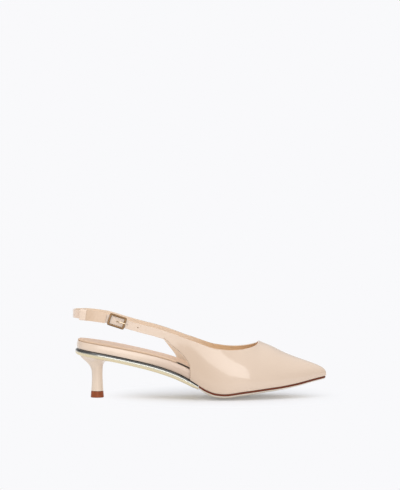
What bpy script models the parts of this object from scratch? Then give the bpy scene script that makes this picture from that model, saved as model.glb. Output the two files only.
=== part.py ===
"""Slingback pump with a kitten heel: one right shoe, standing empty on heel tip and forefoot.

Metres, +Z up, +X towards the toe, +Y towards the inner side of the foot.
The origin is the centre of the heel tip's ground face.
"""

import math

import bmesh
import bpy
import numpy as np
from mathutils import Vector

MM = 0.001
LATERAL = -1
MEDIAL = 1

# Main sizes
SHOE_LENGTH = 252 * MM  # back of the rand to the toe tip
BALL_WIDTH = 73 * MM
INSTEP_RISE = 45.8 * MM  # throat above the feather line
HEEL_RISE = 43.7 * MM  # heel seat above the ball, both at the feather line
TOE_SPRING = 15.0 * MM  # toe above the ball, both at the feather line
HEEL_SETBACK = 22 * MM  # back of the rand behind the centre of the heel tip
GAP = 0.3 * MM  # between neighbouring pieces

# Sole
OUTSOLE_THICK = 2.6 * MM
OUTSOLE_INSET = 0.7 * MM
BALL_CROWN = 4.1 * MM  # how far the sole dips below its edges at the ball
CONTACT_DEPTH = 0.5 * MM  # pressed flat where the ball meets the floor
WAIST_SEAM = 0.4905  # share of the length where rand meets outsole
RAND_THICK = 6.2 * MM
RAND_ROUND = 1.7 * MM
FOOTBED_THICK = 10.0 * MM
SEAT_INSET = 1.5 * MM
SOCK_THICK = 1.9 * MM
SOCK_INSET = 1.1 * MM
SOCK_CROWN = 0.7 * MM
SOCK_FLATNESS = 4  # power of the sock's crown from side to side
CROWN_FLATNESS = 2.4  # power of the dip under the ball from side to side
FOOTBED_END = 0.965  # share of the length, under the toe
SOCK_END = 0.93  # share of the length
FOOTBED_SOFT = 0.5 * MM
NARROWS_FROM = 0.20  # share of the length where the footbed starts to draw inside the upper
NARROWS_OVER = 0.14

# Upper
WALL = 1.4 * MM
FEATHER_TUCK = 1.2 * MM
TUCK_HEIGHT = 12 * MM
STRAP_WIDTH = 8.1 * MM
STRAP_SPREAD = 0.692 * BALL_WIDTH  # across the strap loop, outside to outside
STRAP_OVERHANG = 2.5 * MM  # of the strap behind the rand
STRAP_TURN = 28 * MM  # length of the loop's round back
STRAP_LEAN = 0.24  # how far the strap leans in, as a share of its spread for each instep rise
LEAN_START = 0.1
STRAP_FLARE = 0.9  # how the line of the straps opens forward: amount and power
STRAP_FLARE_POWER = 1.6
STRAP_SHAPE_FROM = 0.29  # shares of the length over which the wall takes over from the strap
STRAP_SHAPE_OVER = 0.26
STRAP_SHAPE_UP = 0.7  # share of the collar's height at which the wall is as steep as the strap
QUARTER_FOOT = 0.4568 * SHOE_LENGTH - HEEL_SETBACK  # outer quarter's rear edge, at the sole
QUARTER_REACH = 26 * MM  # from there back to the corner under the strap
MEDIAL_EXTENSION = 12 * MM  # how much further back the inner quarter reaches
THROAT = 0.7325 * SHOE_LENGTH - HEEL_SETBACK
QUARTER_LEAN = 8 * MM  # top of the line up from the quarter's foot, ahead of that foot
RIDGE_END = 0.9985  # share of the length
UNDER_THROAT = THROAT + 6.4 * MM  # lower end of the line down from the throat
SLING_JOINT = 0.246 * SHOE_LENGTH - HEEL_SETBACK  # inner quarter and sling strap are joined

# Heel
TIP_HEIGHT = 6.4 * MM
TIP_LENGTH = 13.2 * MM
TIP_WIDTH = 12.6 * MM
HEEL_STEM = 10.7 * MM
HEEL_SEAT_INSET = 4.4 * MM
HEEL_SEAT_LENGTH = 46 * MM
STEM_FLATNESS = 2.3  # power of the stem's outline: 2 is an ellipse

# Buckle, keeper and sleeve
BUCKLE_AT = 20.5 * MM
BUCKLE_LENGTH = 17.2 * MM
BUCKLE_HEIGHT = 12.0 * MM
BUCKLE_BAR = 1.6 * MM
BUCKLE_CORNER = 1.1 * MM
CENTRE_BAR = 1.2 * MM
CENTRE_BAR_BACK = 3.2 * MM  # centre bar behind the middle of the frame
LEG_TURN = 0.85  # share of the bar's depth at which its legs turn under the strap
PRONG = 1.1 * MM
HOLE = 1.9 * MM
HOLE_PITCH = 10.4 * MM
HOLE_COUNT = 3
TAB_WIDTH = 10.4 * MM
TAB_ENDS = (-9.2 * MM, 9.6 * MM)
TAB_THICK = 1.0 * MM
FOLD_LENGTH = 7 * MM
KEEPER_ENDS = (-16.2 * MM, -9.9 * MM)
KEEPER_THICK = 1.1 * MM
TAIL_END = -15.6 * MM

# Worked out from the sizes above
UNDER_TAIL = -(WALL + GAP)
BAR_DEPTH = 2 * WALL + 2 * GAP + CENTRE_BAR / 2  # centre bar inside the strap's outer face
CENTRE_BAR_AT = BUCKLE_AT - CENTRE_BAR_BACK

# How finely the surfaces are divided
RUNGS = {"strap": 13, "turn": 6, "waist": 13, "vamp": 15}
ROUND_END = 9 * MM  # length of a layer's round end
END_STEPS = 6
AT_WAIST = np.arange(0.36, 0.64, 0.02)
SHARED = np.concatenate([np.arange(0.08, 0.34, 0.04), AT_WAIST, np.arange(0.66, 0.95, 0.045)])
ACROSS = (-1.0, -0.8, -0.55, -0.25, 0.0, 0.25, 0.55, 0.8, 1.0)
ROWS_UP = np.array([0.0, 0.1, 0.22, 0.36, 0.5, 0.64, 0.78, 0.9, 1.0])


def table(columns, *rows):
    """A table with named columns, one row for each section."""
    return dict(zip(columns.split(), np.array(rows, float).T))


# The plan of the last: shares of the shoe's length and of the ball width.
PLAN = table(
    "along lateral medial",
    (0.000, 0.000, 0.000),
    (0.012, 0.159, 0.159),
    (0.040, 0.268, 0.264),
    (0.085, 0.332, 0.320),
    (0.150, 0.357, 0.336),
    (0.230, 0.356, 0.316),
    (0.320, 0.369, 0.300),
    (0.400, 0.409, 0.322),
    (0.480, 0.465, 0.388),
    (0.550, 0.499, 0.459),
    (0.620, 0.497, 0.501),
    (0.690, 0.452, 0.499),
    (0.760, 0.370, 0.460),
    (0.830, 0.268, 0.391),
    (0.900, 0.150, 0.301),
    (0.955, 0.045, 0.218),
    (0.985, -0.018, 0.163),
    (1.000, -0.077, 0.077),
)

# The feather line, where the upper meets the sole: shares of heel rise and toe spring.
FEATHER = table(
    "along heel toe",
    (0.000, 1.000, 0.000),
    (0.083, 0.924, 0.000),
    (0.149, 0.856, 0.000),
    (0.237, 0.747, 0.000),
    (0.302, 0.657, 0.000),
    (0.390, 0.498, 0.000),
    (0.461, 0.304, 0.000),
    (0.490, 0.201, 0.000),
    (0.518, 0.104, 0.000),
    (0.559, 0.018, 0.000),
    (0.595, 0.000, 0.000),
    (0.660, 0.000, 0.127),
    (0.761, 0.000, 0.320),
    (0.821, 0.000, 0.430),
    (0.881, 0.000, 0.587),
    (0.956, 0.000, 0.860),
    (1.000, 0.000, 1.000),
)

# Layers of the sole: shares of rand thickness, footbed thickness and ball crown.
LAYERS = table(
    "along rand footbed crown",
    (0.000, 0.95, 0.76, 0.00),
    (0.080, 0.93, 0.77, 0.00),
    (0.200, 0.96, 0.81, 0.00),
    (0.300, 1.00, 0.86, 0.06),
    (0.400, 1.02, 0.95, 0.20),
    (0.461, 0.90, 1.00, 0.45),
    (0.490, 0.60, 0.85, 0.62),
    (0.530, 0.50, 0.45, 0.85),
    (0.580, 0.50, 0.30, 1.00),
    (0.650, 0.50, 0.28, 0.92),
    (0.800, 0.50, 0.26, 0.60),
    (0.930, 0.50, 0.25, 0.22),
    (1.000, 0.50, 0.25, 0.06),
)

# Heights above the feather line, as shares of the instep rise. The ridge runs down the vamp
# to the toe, and behind the throat it is the foot's own line, which only shapes the walls.
RIDGE = table(
    "along ridge",
    (0.000, 3.900),
    (0.200, 3.300),
    (0.325, 2.800),
    (0.457, 2.290),
    (0.545, 1.940),
    (0.578, 1.790),
    (0.619, 1.560),
    (0.660, 1.370),
    (0.701, 1.165),
    (0.7325, 1.015),
    (0.781, 0.872),
    (0.842, 0.664),
    (0.903, 0.475),
    (0.946, 0.335),
    (0.972, 0.246),
    (0.988, 0.176),
    (0.997, 0.110),
    (1.000, 0.060),
)
TOPLINE = table(
    "along top",
    (-0.010, 0.840),
    (0.020, 0.852),
    (0.048, 0.870),
    (0.083, 0.880),
    (0.118, 0.884),
    (0.211, 0.841),
    (0.286, 0.822),
    (0.325, 0.824),
    (0.369, 0.823),
    (0.413, 0.832),
    (0.457, 0.862),
    (0.490, 0.914),
    (0.523, 0.953),
    (0.545, 0.965),
    (0.577, 0.963),
    (0.619, 0.938),
    (0.660, 0.912),
    (0.700, 0.928),
    (0.722, 0.964),
    (0.7325, 1.013),
)

# Rear edge of a quarter: shares of its reach back from the foot, and of the height there.
REAR_EDGE = table(
    "outer inner up",
    (1.000, 1.000, 1.000),
    (0.900, 0.870, 0.945),
    (0.790, 0.710, 0.880),
    (0.680, 0.590, 0.808),
    (0.430, 0.450, 0.685),
    (0.243, 0.325, 0.570),
    (0.107, 0.190, 0.455),
    (0.020, 0.080, 0.330),
    (0.000, 0.020, 0.165),
    (0.000, 0.000, 0.000),
)

# Heel, from the tip up: shares of the height to the seat at its back and front, and of the
# reach from the stem out to the seat at the back, the front and the sides.
HEEL_ROWS = table(
    "back_up front_up back front side waist",
    (0.000, 0.000, 0.00, 0.00, 0.000, 1.14),
    (0.180, 0.240, 0.00, 0.00, 0.000, 1.05),
    (0.380, 0.520, 0.00, 0.00, 0.000, 1.00),
    (0.570, 0.740, 0.02, 0.01, 0.010, 1.01),
    (0.700, 0.870, 0.12, 0.06, 0.090, 1.05),
    (0.820, 0.940, 0.38, 0.19, 0.310, 1.08),
    (0.930, 0.978, 0.78, 0.50, 0.680, 1.10),
    (1.000, 1.000, 1.00, 1.00, 1.000, 1.10),
)

LEATHER = ((0.82, 0.66, 0.52, 1.0), 0.30, 0.0)
SOCK_LEATHER = ((0.76, 0.56, 0.43, 1.0), 0.55, 0.0)
HEEL_WRAP = ((0.80, 0.65, 0.52, 1.0), 0.35, 0.0)
RAND_METAL = ((0.83, 0.77, 0.60, 1.0), 0.15, 1.0)
SOLE_BROWN = ((0.16, 0.05, 0.03, 1.0), 0.50, 0.0)
TIP_RUBBER = ((0.30, 0.09, 0.03, 1.0), 0.50, 0.0)
BUCKLE_GOLD = ((0.80, 0.58, 0.30, 1.0), 0.20, 1.0)


def slopes_of(knots, values):
    """Slopes at the knots that keep a curve through them free of overshoot."""
    step = np.diff(knots)
    rise = np.diff(values) / step
    slope = np.empty(len(knots))
    slope[0] = rise[0]
    slope[-1] = rise[-1]
    same_way = rise[:-1] * rise[1:] > 0
    before = 2 * step[1:] + step[:-1]
    after = step[1:] + 2 * step[:-1]
    safe_left = np.where(same_way, rise[:-1], 1)
    safe_right = np.where(same_way, rise[1:], 1)
    mean = (before + after) / (before / safe_left + after / safe_right)
    slope[1:-1] = np.where(same_way, mean, 0)
    return slope


def read(rows, column, at):
    """The value of a column at a share, on a smooth curve through the table's rows."""
    knots = rows["along"]
    values = rows[column]
    slope = slopes_of(knots, values)
    at = np.clip(np.asarray(at, float), knots[0], knots[-1])
    i = np.clip(np.searchsorted(knots, at) - 1, 0, len(knots) - 2)
    step = knots[i + 1] - knots[i]
    t = (at - knots[i]) / step
    start = (1 + 2 * t) * (1 - t) ** 2 * values[i] + t * (1 - t) ** 2 * step * slope[i]
    end = t**2 * (3 - 2 * t) * values[i + 1] + t**2 * (t - 1) * step * slope[i + 1]
    return start + end


def ease(value):
    """A soft step from 0 to 1."""
    value = np.clip(value, 0, 1)
    return value * value * (3 - 2 * value)


def share(x):
    """The share of the shoe's length at x."""
    return (x + HEEL_SETBACK) / SHOE_LENGTH


def place(along):
    """The x of a share of the shoe's length."""
    return along * SHOE_LENGTH - HEEL_SETBACK


def plan_loop():
    """The plan of the last as one dense closed curve: heel back, outer side, toe, inner side."""
    points = [(place(a), -w * BALL_WIDTH) for a, w in zip(PLAN["along"], PLAN["lateral"])]
    back = list(zip(PLAN["along"], PLAN["medial"]))[-2:0:-1]
    points += [(place(a), w * BALL_WIDTH) for a, w in back]
    points = np.array(points)
    count = len(points)
    dense = []
    for i in range(count):
        p = points[[(i - 1) % count, i, (i + 1) % count, (i + 2) % count]]
        gaps = np.sqrt(np.linalg.norm(np.diff(p, axis=0), axis=1))
        knot = np.concatenate([[0], np.cumsum(gaps)])
        t = np.linspace(knot[1], knot[2], 24, endpoint=False)[:, None]
        a = [(knot[j + 1] - t) * p[j] + (t - knot[j]) * p[j + 1] for j in range(3)]
        a = [part / (knot[j + 1] - knot[j]) for j, part in enumerate(a)]
        b = [(knot[j + 2] - t) * a[j] + (t - knot[j]) * a[j + 1] for j in range(2)]
        b = [part / (knot[j + 2] - knot[j]) for j, part in enumerate(b)]
        dense.append(((knot[2] - t) * b[0] + (t - knot[1]) * b[1]) / (knot[2] - knot[1]))
    return np.concatenate(dense)


LOOP = plan_loop()
ALONG_LOOP = np.roll(LOOP, -1, axis=0) - np.roll(LOOP, 1, axis=0)
INWARD = np.stack([-ALONG_LOOP[:, 1], ALONG_LOOP[:, 0]], axis=1)
INWARD = INWARD / np.linalg.norm(INWARD, axis=1)[:, None]
TOE_AT = int(np.argmax(LOOP[:, 0]))


def side_of_loop(side, inset):
    """One side of the plan, heel to toe, moved inwards by an amount or by a function of x."""
    amount = inset(LOOP[:, 0])[:, None] if callable(inset) else inset
    moved = LOOP + INWARD * amount
    if side == LATERAL:
        return moved[: TOE_AT + 1]
    return np.concatenate([moved[TOE_AT:], moved[:1]])[::-1]


def stations(rear, front, round_rear, round_front):
    """Places along a layer: close together at a rounded end, shared by all layers between."""
    turn = ROUND_END * (1 - np.cos(np.linspace(0, np.pi / 2, END_STEPS)))
    first = turn if round_rear else np.zeros(1)
    last = turn if round_front else np.zeros(1)
    reach = ROUND_END + 2 * MM
    low = place(0) + reach + SEAT_INSET if round_rear else rear + 2 * MM
    high = place(SHARED[-1]) if round_front else front - 2 * MM
    shared = place(SHARED)
    shared = shared[(shared > low) & (shared < min(high, front - reach * round_front))]
    return np.concatenate([rear + first, shared, front - last[::-1]])


def edge_y(side, x, inset=0.0):
    points = side_of_loop(side, inset)
    return np.interp(x, np.maximum.accumulate(points[:, 0]), points[:, 1])


def feather_z(x):
    """Height of the sole's top edge, where upper and footbed begin."""
    along = share(x)
    base = OUTSOLE_THICK + BALL_CROWN + GAP - CONTACT_DEPTH
    return base + read(FEATHER, "heel", along) * HEEL_RISE + read(FEATHER, "toe", along) * TOE_SPRING


def crown_z(x, across):
    """How far a layer dips below its edges, at a share across from -1 to 1."""
    return -read(LAYERS, "crown", share(x)) * BALL_CROWN * (1 - np.abs(across) ** CROWN_FLATNESS)


def footbed_inset(x):
    """The footbed lies inside the upper in front, and nearly flush with the rand behind."""
    inside = FEATHER_TUCK + WALL + GAP
    blend = ease((share(x) - NARROWS_FROM) / NARROWS_OVER)
    return SEAT_INSET + (inside - SEAT_INSET) * blend


def footbed_top(x):
    return feather_z(x) + GAP + read(LAYERS, "footbed", share(x)) * FOOTBED_THICK


class Skin:
    """Points welded where they coincide, and the faces between them."""

    def __init__(self):
        self.points = []
        self.index = {}
        self.faces = []

    def point(self, co):
        key = tuple(int(round(float(c) * 1e7)) for c in co)
        if key not in self.index:
            self.index[key] = len(self.points)
            self.points.append(tuple(float(c) for c in co))
        return self.index[key]

    def face(self, *corners):
        kept = [c for i, c in enumerate(corners) if c != corners[i - 1]]
        if len(set(kept)) > 2:
            self.faces.append(kept)

    def grid(self, rows):
        """Faces between rows of points, each row as long as the next."""
        ids = [[self.point(co) for co in row] for row in rows]
        for low, high in zip(ids, ids[1:]):
            for i in range(len(low) - 1):
                self.face(low[i], low[i + 1], high[i + 1], high[i])


def material(name, finish):
    colour, roughness, metallic = finish
    made = bpy.data.materials.new(name)
    made.use_nodes = True
    shader = made.node_tree.nodes["Principled BSDF"]
    shader.inputs["Base Color"].default_value = colour
    shader.inputs["Roughness"].default_value = roughness
    shader.inputs["Metallic"].default_value = metallic
    made.diffuse_color = colour
    return made


def build(name, skin, finish, facing=None, nearest=None, smooth_angle=40):
    """An object from a skin, its faces turned outwards.

    On an open sheet the face nearest to a point, or the first face, is turned to face a way.
    """
    mesh = bpy.data.meshes.new(name)
    mesh.from_pydata(skin.points, [], skin.faces)
    work = bmesh.new()
    work.from_mesh(mesh)
    bmesh.ops.recalc_face_normals(work, faces=work.faces)
    if facing is not None:
        work.faces.ensure_lookup_table()
        face = work.faces[0]
        if nearest is not None:
            target = Vector(nearest)
            face = min(work.faces, key=lambda f: (f.calc_center_median() - target).length)
        if face.normal.dot(Vector(facing)) < 0:
            bmesh.ops.reverse_faces(work, faces=work.faces)
    work.to_mesh(mesh)
    work.free()
    mesh.shade_smooth()
    mesh.set_sharp_from_angle(angle=math.radians(smooth_angle))
    mesh.materials.append(material(name + "_finish", finish))
    made = bpy.data.objects.new(name, mesh)
    bpy.context.scene.collection.objects.link(made)
    return made


def thicken(made, thickness):
    """Gives an open sheet its wall, inwards from its outer face."""
    wall = made.modifiers.new("wall", "SOLIDIFY")
    wall.thickness = thickness
    wall.offset = -1
    wall.use_quality_normals = True


def sole_layer(name, finish, rows, rear, front, across):
    """A closed layer of the sole, its ends round where no cut is given.

    rows give, from the top edge to the bottom edge, an inset and a height as functions;
    across are the shares from side to side at which top and bottom are divided.
    """
    skin = Skin()
    rings = []
    tips = [side_of_loop(LATERAL, inset)[[0, -1], 0] for inset, _ in rows]
    outer = [min(tip[0] for tip in tips), max(tip[1] for tip in tips)]
    base = stations(outer[0] if rear is None else rear, outer[1] if front is None else front,
                    rear is None, front is None)
    for (inset, height), tip in zip(rows, tips):
        at = base.copy()
        if rear is None:
            at[:END_STEPS] += tip[0] - outer[0]
        if front is None:
            at[-END_STEPS:] += tip[1] - outer[1]
        sides = []
        for side in (LATERAL, MEDIAL):
            points = side_of_loop(side, inset)
            y = np.interp(at, np.maximum.accumulate(points[:, 0]), points[:, 1])
            sides.append(np.column_stack([at, y, height(at, 1.0)]))
        for end in [0] * (rear is None) + [-1] * (front is None):
            sides[1][end] = sides[0][end]
        rings.append(sides)
    for side in (0, 1):
        skin.grid([ring[side] for ring in rings])
    ends = []
    for ring, (inset, height) in ((rings[0], rows[0]), (rings[-1], rows[-1])):
        face = []
        for t in across:
            mix = (t + 1) / 2
            line = ring[0] * (1 - mix) + ring[1] * mix
            line[:, 2] = height(line[:, 0], t)
            face.append(line)
        skin.grid(face)
        ends.append(face)
    for end in (0, -1):
        if np.allclose(rings[0][0][end], rings[0][1][end], atol=1e-7):
            continue
        top = [line[end] for line in ends[0]]
        bottom = [line[end] for line in ends[1]]
        near = [ring[0][end] for ring in rings]
        far = [ring[1][end] for ring in rings]
        outline = top + far[1:-1] + bottom[::-1] + near[-2:0:-1]
        skin.face(*[skin.point(co) for co in outline])
    return build(name, skin, finish)


def inset_by(base, extra):
    """An inset that adds an amount to a number or to a function of x."""
    if callable(base):
        return lambda x: base(x) + extra
    return base + extra


def make_outsole():
    """Forefoot sole: it dips to the floor at the ball, where it is flat."""
    seam = place(WAIST_SEAM)

    def top(x, across):
        return feather_z(x) - GAP + crown_z(x, across * np.ones_like(x))

    def bottom(x, across):
        return np.maximum(top(x, across) - OUTSOLE_THICK, 0)

    def edge(down):
        return lambda x, across: top(x, across) - down * OUTSOLE_THICK

    rows = [
        (OUTSOLE_INSET + 0.15 * OUTSOLE_THICK, top),
        (OUTSOLE_INSET, edge(0.25)),
        (OUTSOLE_INSET + 0.15 * OUTSOLE_THICK, edge(0.75)),
        (OUTSOLE_INSET + 0.45 * OUTSOLE_THICK, bottom),
    ]
    return sole_layer("outsole", SOLE_BROWN, rows, seam + GAP / 2, None, ACROSS)


def rand_bottom(x):
    return feather_z(x) - GAP - read(LAYERS, "rand", share(x)) * RAND_THICK


def make_rand():
    """Heel seat and waist unit with its half-round edge."""
    seam = place(WAIST_SEAM)

    def level(down):
        def height(x, across):
            top = feather_z(x) - GAP
            return top * (1 - down) + rand_bottom(x) * down + crown_z(x, across * np.ones_like(x))

        return height

    rows = []
    for step in range(7):
        turn = math.pi * step / 6
        rows.append((RAND_ROUND * (1 - math.sin(turn)), level((1 - math.cos(turn)) / 2)))
    return sole_layer("rand", RAND_METAL, rows, None, seam - GAP / 2, ACROSS)


def make_footbed():
    """Insole board with its wrapped edge, from the heel into the toe."""

    def level(up):
        def height(x, across):
            low = feather_z(x) + GAP
            return low * (1 - up) + footbed_top(x) * up + crown_z(x, across * np.ones_like(x))

        return height

    rows = [
        (inset_by(footbed_inset, 2.5 * FOOTBED_SOFT), level(1.0)),
        (inset_by(footbed_inset, 1.5 * FOOTBED_SOFT), level(0.93)),
        (inset_by(footbed_inset, FOOTBED_SOFT / 2), level(0.68)),
        (footbed_inset, level(0.34)),
        (inset_by(footbed_inset, FOOTBED_SOFT), level(0.0)),
    ]
    return sole_layer("footbed", LEATHER, rows, None, place(FOOTBED_END), ACROSS)


def make_sock():
    """Cushioned sock on the footbed, with a rounded edge and a low crown."""

    def level(up):
        def height(x, across):
            low = footbed_top(x) + GAP
            swell = up * SOCK_CROWN * (1 - np.abs(across) ** SOCK_FLATNESS)
            return low + up * SOCK_THICK + swell + crown_z(x, across * np.ones_like(x))

        return height

    inset = inset_by(footbed_inset, SOCK_INSET)
    rows = [
        (inset_by(inset, 0.9 * SOCK_THICK), level(1.0)),
        (inset_by(inset, 0.25 * SOCK_THICK), level(0.8)),
        (inset, level(0.45)),
        (inset_by(inset, 0.2 * SOCK_THICK), level(0.0)),
    ]
    return sole_layer("sock_pad", SOCK_LEATHER, rows, None, place(SOCK_END), ACROSS)


def make_heel():
    """Flared heel, lofted from the stem to the seat under the rand."""
    skin = Skin()
    seat_back = place(0) + HEEL_SEAT_INSET
    seat_front = seat_back + HEEL_SEAT_LENGTH
    stem = HEEL_STEM / 2
    top_half = stem * HEEL_ROWS["waist"][-1]
    loops = []
    turns = 0.5 - 0.5 * np.cos(np.linspace(0, np.pi, 13))
    for row in range(len(HEEL_ROWS["back"])):
        part = {key: values[row] for key, values in HEEL_ROWS.items()}
        half = stem * part["waist"]
        back = -half + (seat_back + top_half) * part["back"]
        front = half + (seat_front - top_half) * part["front"]
        x = back + (front - back) * turns
        foot = TIP_HEIGHT + GAP
        seat = rand_bottom(x) - GAP
        rise = part["back_up"] * (1 - turns) + part["front_up"] * turns
        level = foot + (seat - foot) * rise
        round_half = half * np.sqrt(1 - np.abs(2 * turns - 1) ** STEM_FLATNESS)
        sides = []
        for side in (LATERAL, MEDIAL):
            seat_half = np.abs(edge_y(side, x, HEEL_SEAT_INSET))
            taper = np.sqrt(np.clip(1 - np.clip(2 * turns - 1, 0, 1) ** 3, 0, 1))
            inside = np.where(turns > 0, seat_half * taper, 0)
            y = round_half * (1 - part["side"]) + inside * part["side"]
            sides.append(np.column_stack([x, side * y, level]))
        sides[1][[0, -1], 1] = 0
        sides[0][[0, -1], 1] = 0
        loops.append(sides)
    for side in (0, 1):
        skin.grid([loop[side] for loop in loops])
    for loop in (loops[0], loops[-1]):
        skin.grid([loop[0], loop[1]])
    return build("heel", skin, HEEL_WRAP)


def make_heel_tip():
    """Top piece under the heel, a little wider at the ground."""
    skin = Skin()
    turns = 0.5 - 0.5 * np.cos(np.linspace(0, np.pi, 13))
    levels = ((0.0, 0.95), (0.08, 1.0), (0.5, 0.96), (1.0, 0.92))
    loops = []
    for up, wide in levels:
        x = (turns - 0.5) * TIP_LENGTH * wide
        y = TIP_WIDTH / 2 * wide * np.sqrt(1 - np.abs(2 * turns - 1) ** STEM_FLATNESS)
        z = np.full_like(x, up * TIP_HEIGHT)
        loops.append([np.column_stack([x, side * y, z]) for side in (LATERAL, MEDIAL)])
    for side in (0, 1):
        skin.grid([loop[side] for loop in loops])
    for loop in (loops[0], loops[-1]):
        skin.grid([loop[0], loop[1]])
    return build("heel_tip", skin, TIP_RUBBER)


def top_z(x):
    """Height of the topline, and of the strap's upper edge."""
    return feather_z(x) + read(TOPLINE, "top", share(x)) * INSTEP_RISE


def strap_drop(x):
    """The strap's width measured straight down."""
    step = 1 * MM
    slope = (top_z(x + step) - top_z(x - step)) / (2 * step)
    return STRAP_WIDTH * np.sqrt(1 + slope**2)


def strap_half(x):
    """Half the strap loop's spread at x: straight sides and a round back."""
    turn_at = turn_start()
    back = np.clip((turn_at - x) / STRAP_TURN, 0, 1)
    ahead = np.clip((x - turn_at) / SHOE_LENGTH, 0, 1)
    return STRAP_SPREAD / 2 * (np.sqrt(1 - back**2) + STRAP_FLARE * ahead**STRAP_FLARE_POWER)


def strap_point(side, x, z):
    """A point on the outer face of the strap."""
    lean = 1 - STRAP_LEAN * ((z - top_z(x)) / INSTEP_RISE + LEAN_START)
    return np.array([x, side * strap_half(x) * lean, z])


def rise_of(x, z):
    """The share of the way from feather to ridge at which the wall has a height."""
    height = (z - feather_z(x)) / (read(RIDGE, "ridge", share(x)) * INSTEP_RISE)
    return 2 / math.pi * math.asin(float(np.clip(height, 0, 1)))


def wall_point(side, x, rise):
    """A point on the upper's outer face, at x and a share of the way from feather to ridge."""
    turn = rise * math.pi / 2
    low = feather_z(x)
    up = read(RIDGE, "ridge", share(x)) * INSTEP_RISE * math.sin(turn)
    outer = edge_y(side, x)
    middle = (edge_y(LATERAL, x) + edge_y(MEDIAL, x)) / 2
    y = middle + (outer - middle) * math.cos(turn)
    tuck = min(FEATHER_TUCK, abs(outer - middle) * 0.5)
    y -= side * tuck * max(0.0, 1 - up / TUCK_HEIGHT) ** 2 * math.cos(turn)
    collar = read(TOPLINE, "top", share(x)) * INSTEP_RISE
    behind = 1 - ease((share(x) - STRAP_SHAPE_FROM) / STRAP_SHAPE_OVER)
    strapness = behind * ease(up / collar / STRAP_SHAPE_UP)
    strap = strap_point(side, x, low + up)[1]
    return np.array([x, y * (1 - strapness) + strap * strapness, low + up])


def foot_of(side):
    """Where the quarter's rear edge meets the sole."""
    return QUARTER_FOOT - (MEDIAL_EXTENSION if side == MEDIAL else 0)


def rungs_of(side, rear):
    """Lines across one side of the upper, from lower to upper edge, rear to toe.

    Each is a pair of places on the last, given as x and the share of the way up.
    """
    foot = foot_of(side)
    corner = foot - QUARTER_REACH
    rungs = []
    strap_low = top_z(corner) - strap_drop(corner)
    turn_at = turn_start()
    straight = list(np.linspace(max(rear, turn_at), corner, RUNGS["strap"]))
    around = []
    if rear < turn_at:
        first = math.asin(min(1, (turn_at - rear) / STRAP_TURN))
        angles = np.linspace(first, 0, RUNGS["turn"])[:-1]
        around = [turn_at - STRAP_TURN * math.sin(a) for a in angles]
    for x in around + straight:
        low = (x, rise_of(x, top_z(x) - strap_drop(x)))
        rungs.append((low, (x, rise_of(x, top_z(x)))))
    high_end = foot + QUARTER_LEAN
    backs = REAR_EDGE["outer" if side == LATERAL else "inner"][1:]
    ups = REAR_EDGE["up"][1:]
    reach = strap_low - feather_z(foot)
    for step, (back, up) in enumerate(zip(backs, ups)):
        x = foot - back * QUARTER_REACH
        z = feather_z(foot) + up * reach
        high = corner + (high_end - corner) * (step + 1) / len(backs)
        rungs.append(((x, rise_of(x, z)), (high, rise_of(high, top_z(high)))))
    for mix in np.linspace(0, 1, RUNGS["waist"])[1:]:
        low = foot + (UNDER_THROAT - foot) * mix
        high = high_end + (THROAT - high_end) * math.sin(mix * math.pi / 2)
        rise = 1.0 if mix == 1 else rise_of(high, top_z(high))
        rungs.append(((low, 0.0), (high, rise)))
    for mix in np.sin(np.linspace(0, np.pi / 2, RUNGS["vamp"])[1:]):
        low = UNDER_THROAT + (place(1) - UNDER_THROAT) * mix
        high = THROAT + (place(RIDGE_END) - THROAT) * mix
        rungs.append(((low, 0.0), (high, 1.0)))
    return rungs


def upper_side(side, rear):
    lines = []
    for (low_x, low_rise), (high_x, high_rise) in rungs_of(side, rear):
        line = []
        for mix in ROWS_UP:
            x = low_x + (high_x - low_x) * mix
            line.append(wall_point(side, x, low_rise + (high_rise - low_rise) * mix))
        lines.append(line)
    return lines


def make_upper():
    """Vamp, quarters and the holed strap: one wall, open above, behind and below."""
    skin = Skin()
    for side, rear in ((LATERAL, TAIL_END), (MEDIAL, SLING_JOINT)):
        skin.grid(upper_side(side, rear))
    made = build("upper", skin, LEATHER, facing=(0, LATERAL, 0))
    thicken(made, WALL)
    return made


def strap_across(x, side):
    """From the strap's lower edge straight up to its upper edge."""
    top = top_z(x)
    return strap_point(side, x, top) - strap_point(side, x, top - strap_drop(x))


def strap_frame(x, side=LATERAL):
    """Centre of the strap's outer face at x, and its directions along, up and out."""
    step = 0.5 * MM

    def centre(at):
        return strap_point(side, at, top_z(at) - strap_drop(at) / 2)

    along = centre(x + step) - centre(x - step)
    along /= np.linalg.norm(along)
    out = np.cross(along, strap_across(x, side)) * -side
    out /= np.linalg.norm(out)
    up = np.cross(out, along)
    up = up if up[2] > 0 else -up
    return centre(x), along, up, out


def turn_start():
    """Where the strap loop's straight sides end and its round back begins."""
    return place(0) - STRAP_OVERHANG + STRAP_TURN


def places_along(start, end, count):
    """Places from start forward to end, evenly round the back of the strap loop."""
    turn_at = turn_start()
    around = []
    if start < turn_at:
        first = math.asin(min(1.0, (turn_at - start) / STRAP_TURN))
        last = math.asin(max(0.0, (turn_at - end) / STRAP_TURN))
        around = [turn_at - STRAP_TURN * math.sin(a) for a in np.linspace(first, last, count)]
    if end > turn_at:
        around += list(np.linspace(max(start, turn_at), end, count))[1 if around else 0 :]
    return around


def strip(name, finish, stations, width, thickness):
    """A leather strip through stations (centre, up, out), its faced side on the centres."""
    skin = Skin()
    skin.grid([[centre + up * width * t for t in (-0.5, 0.0, 0.5)] for centre, up, _ in stations])
    made = build(name, skin, finish, facing=stations[0][2])
    thicken(made, thickness)
    return made


def lifted(x, side, lift):
    centre, _, up, out = strap_frame(x, side)
    return centre + out * lift, up, out


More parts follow.
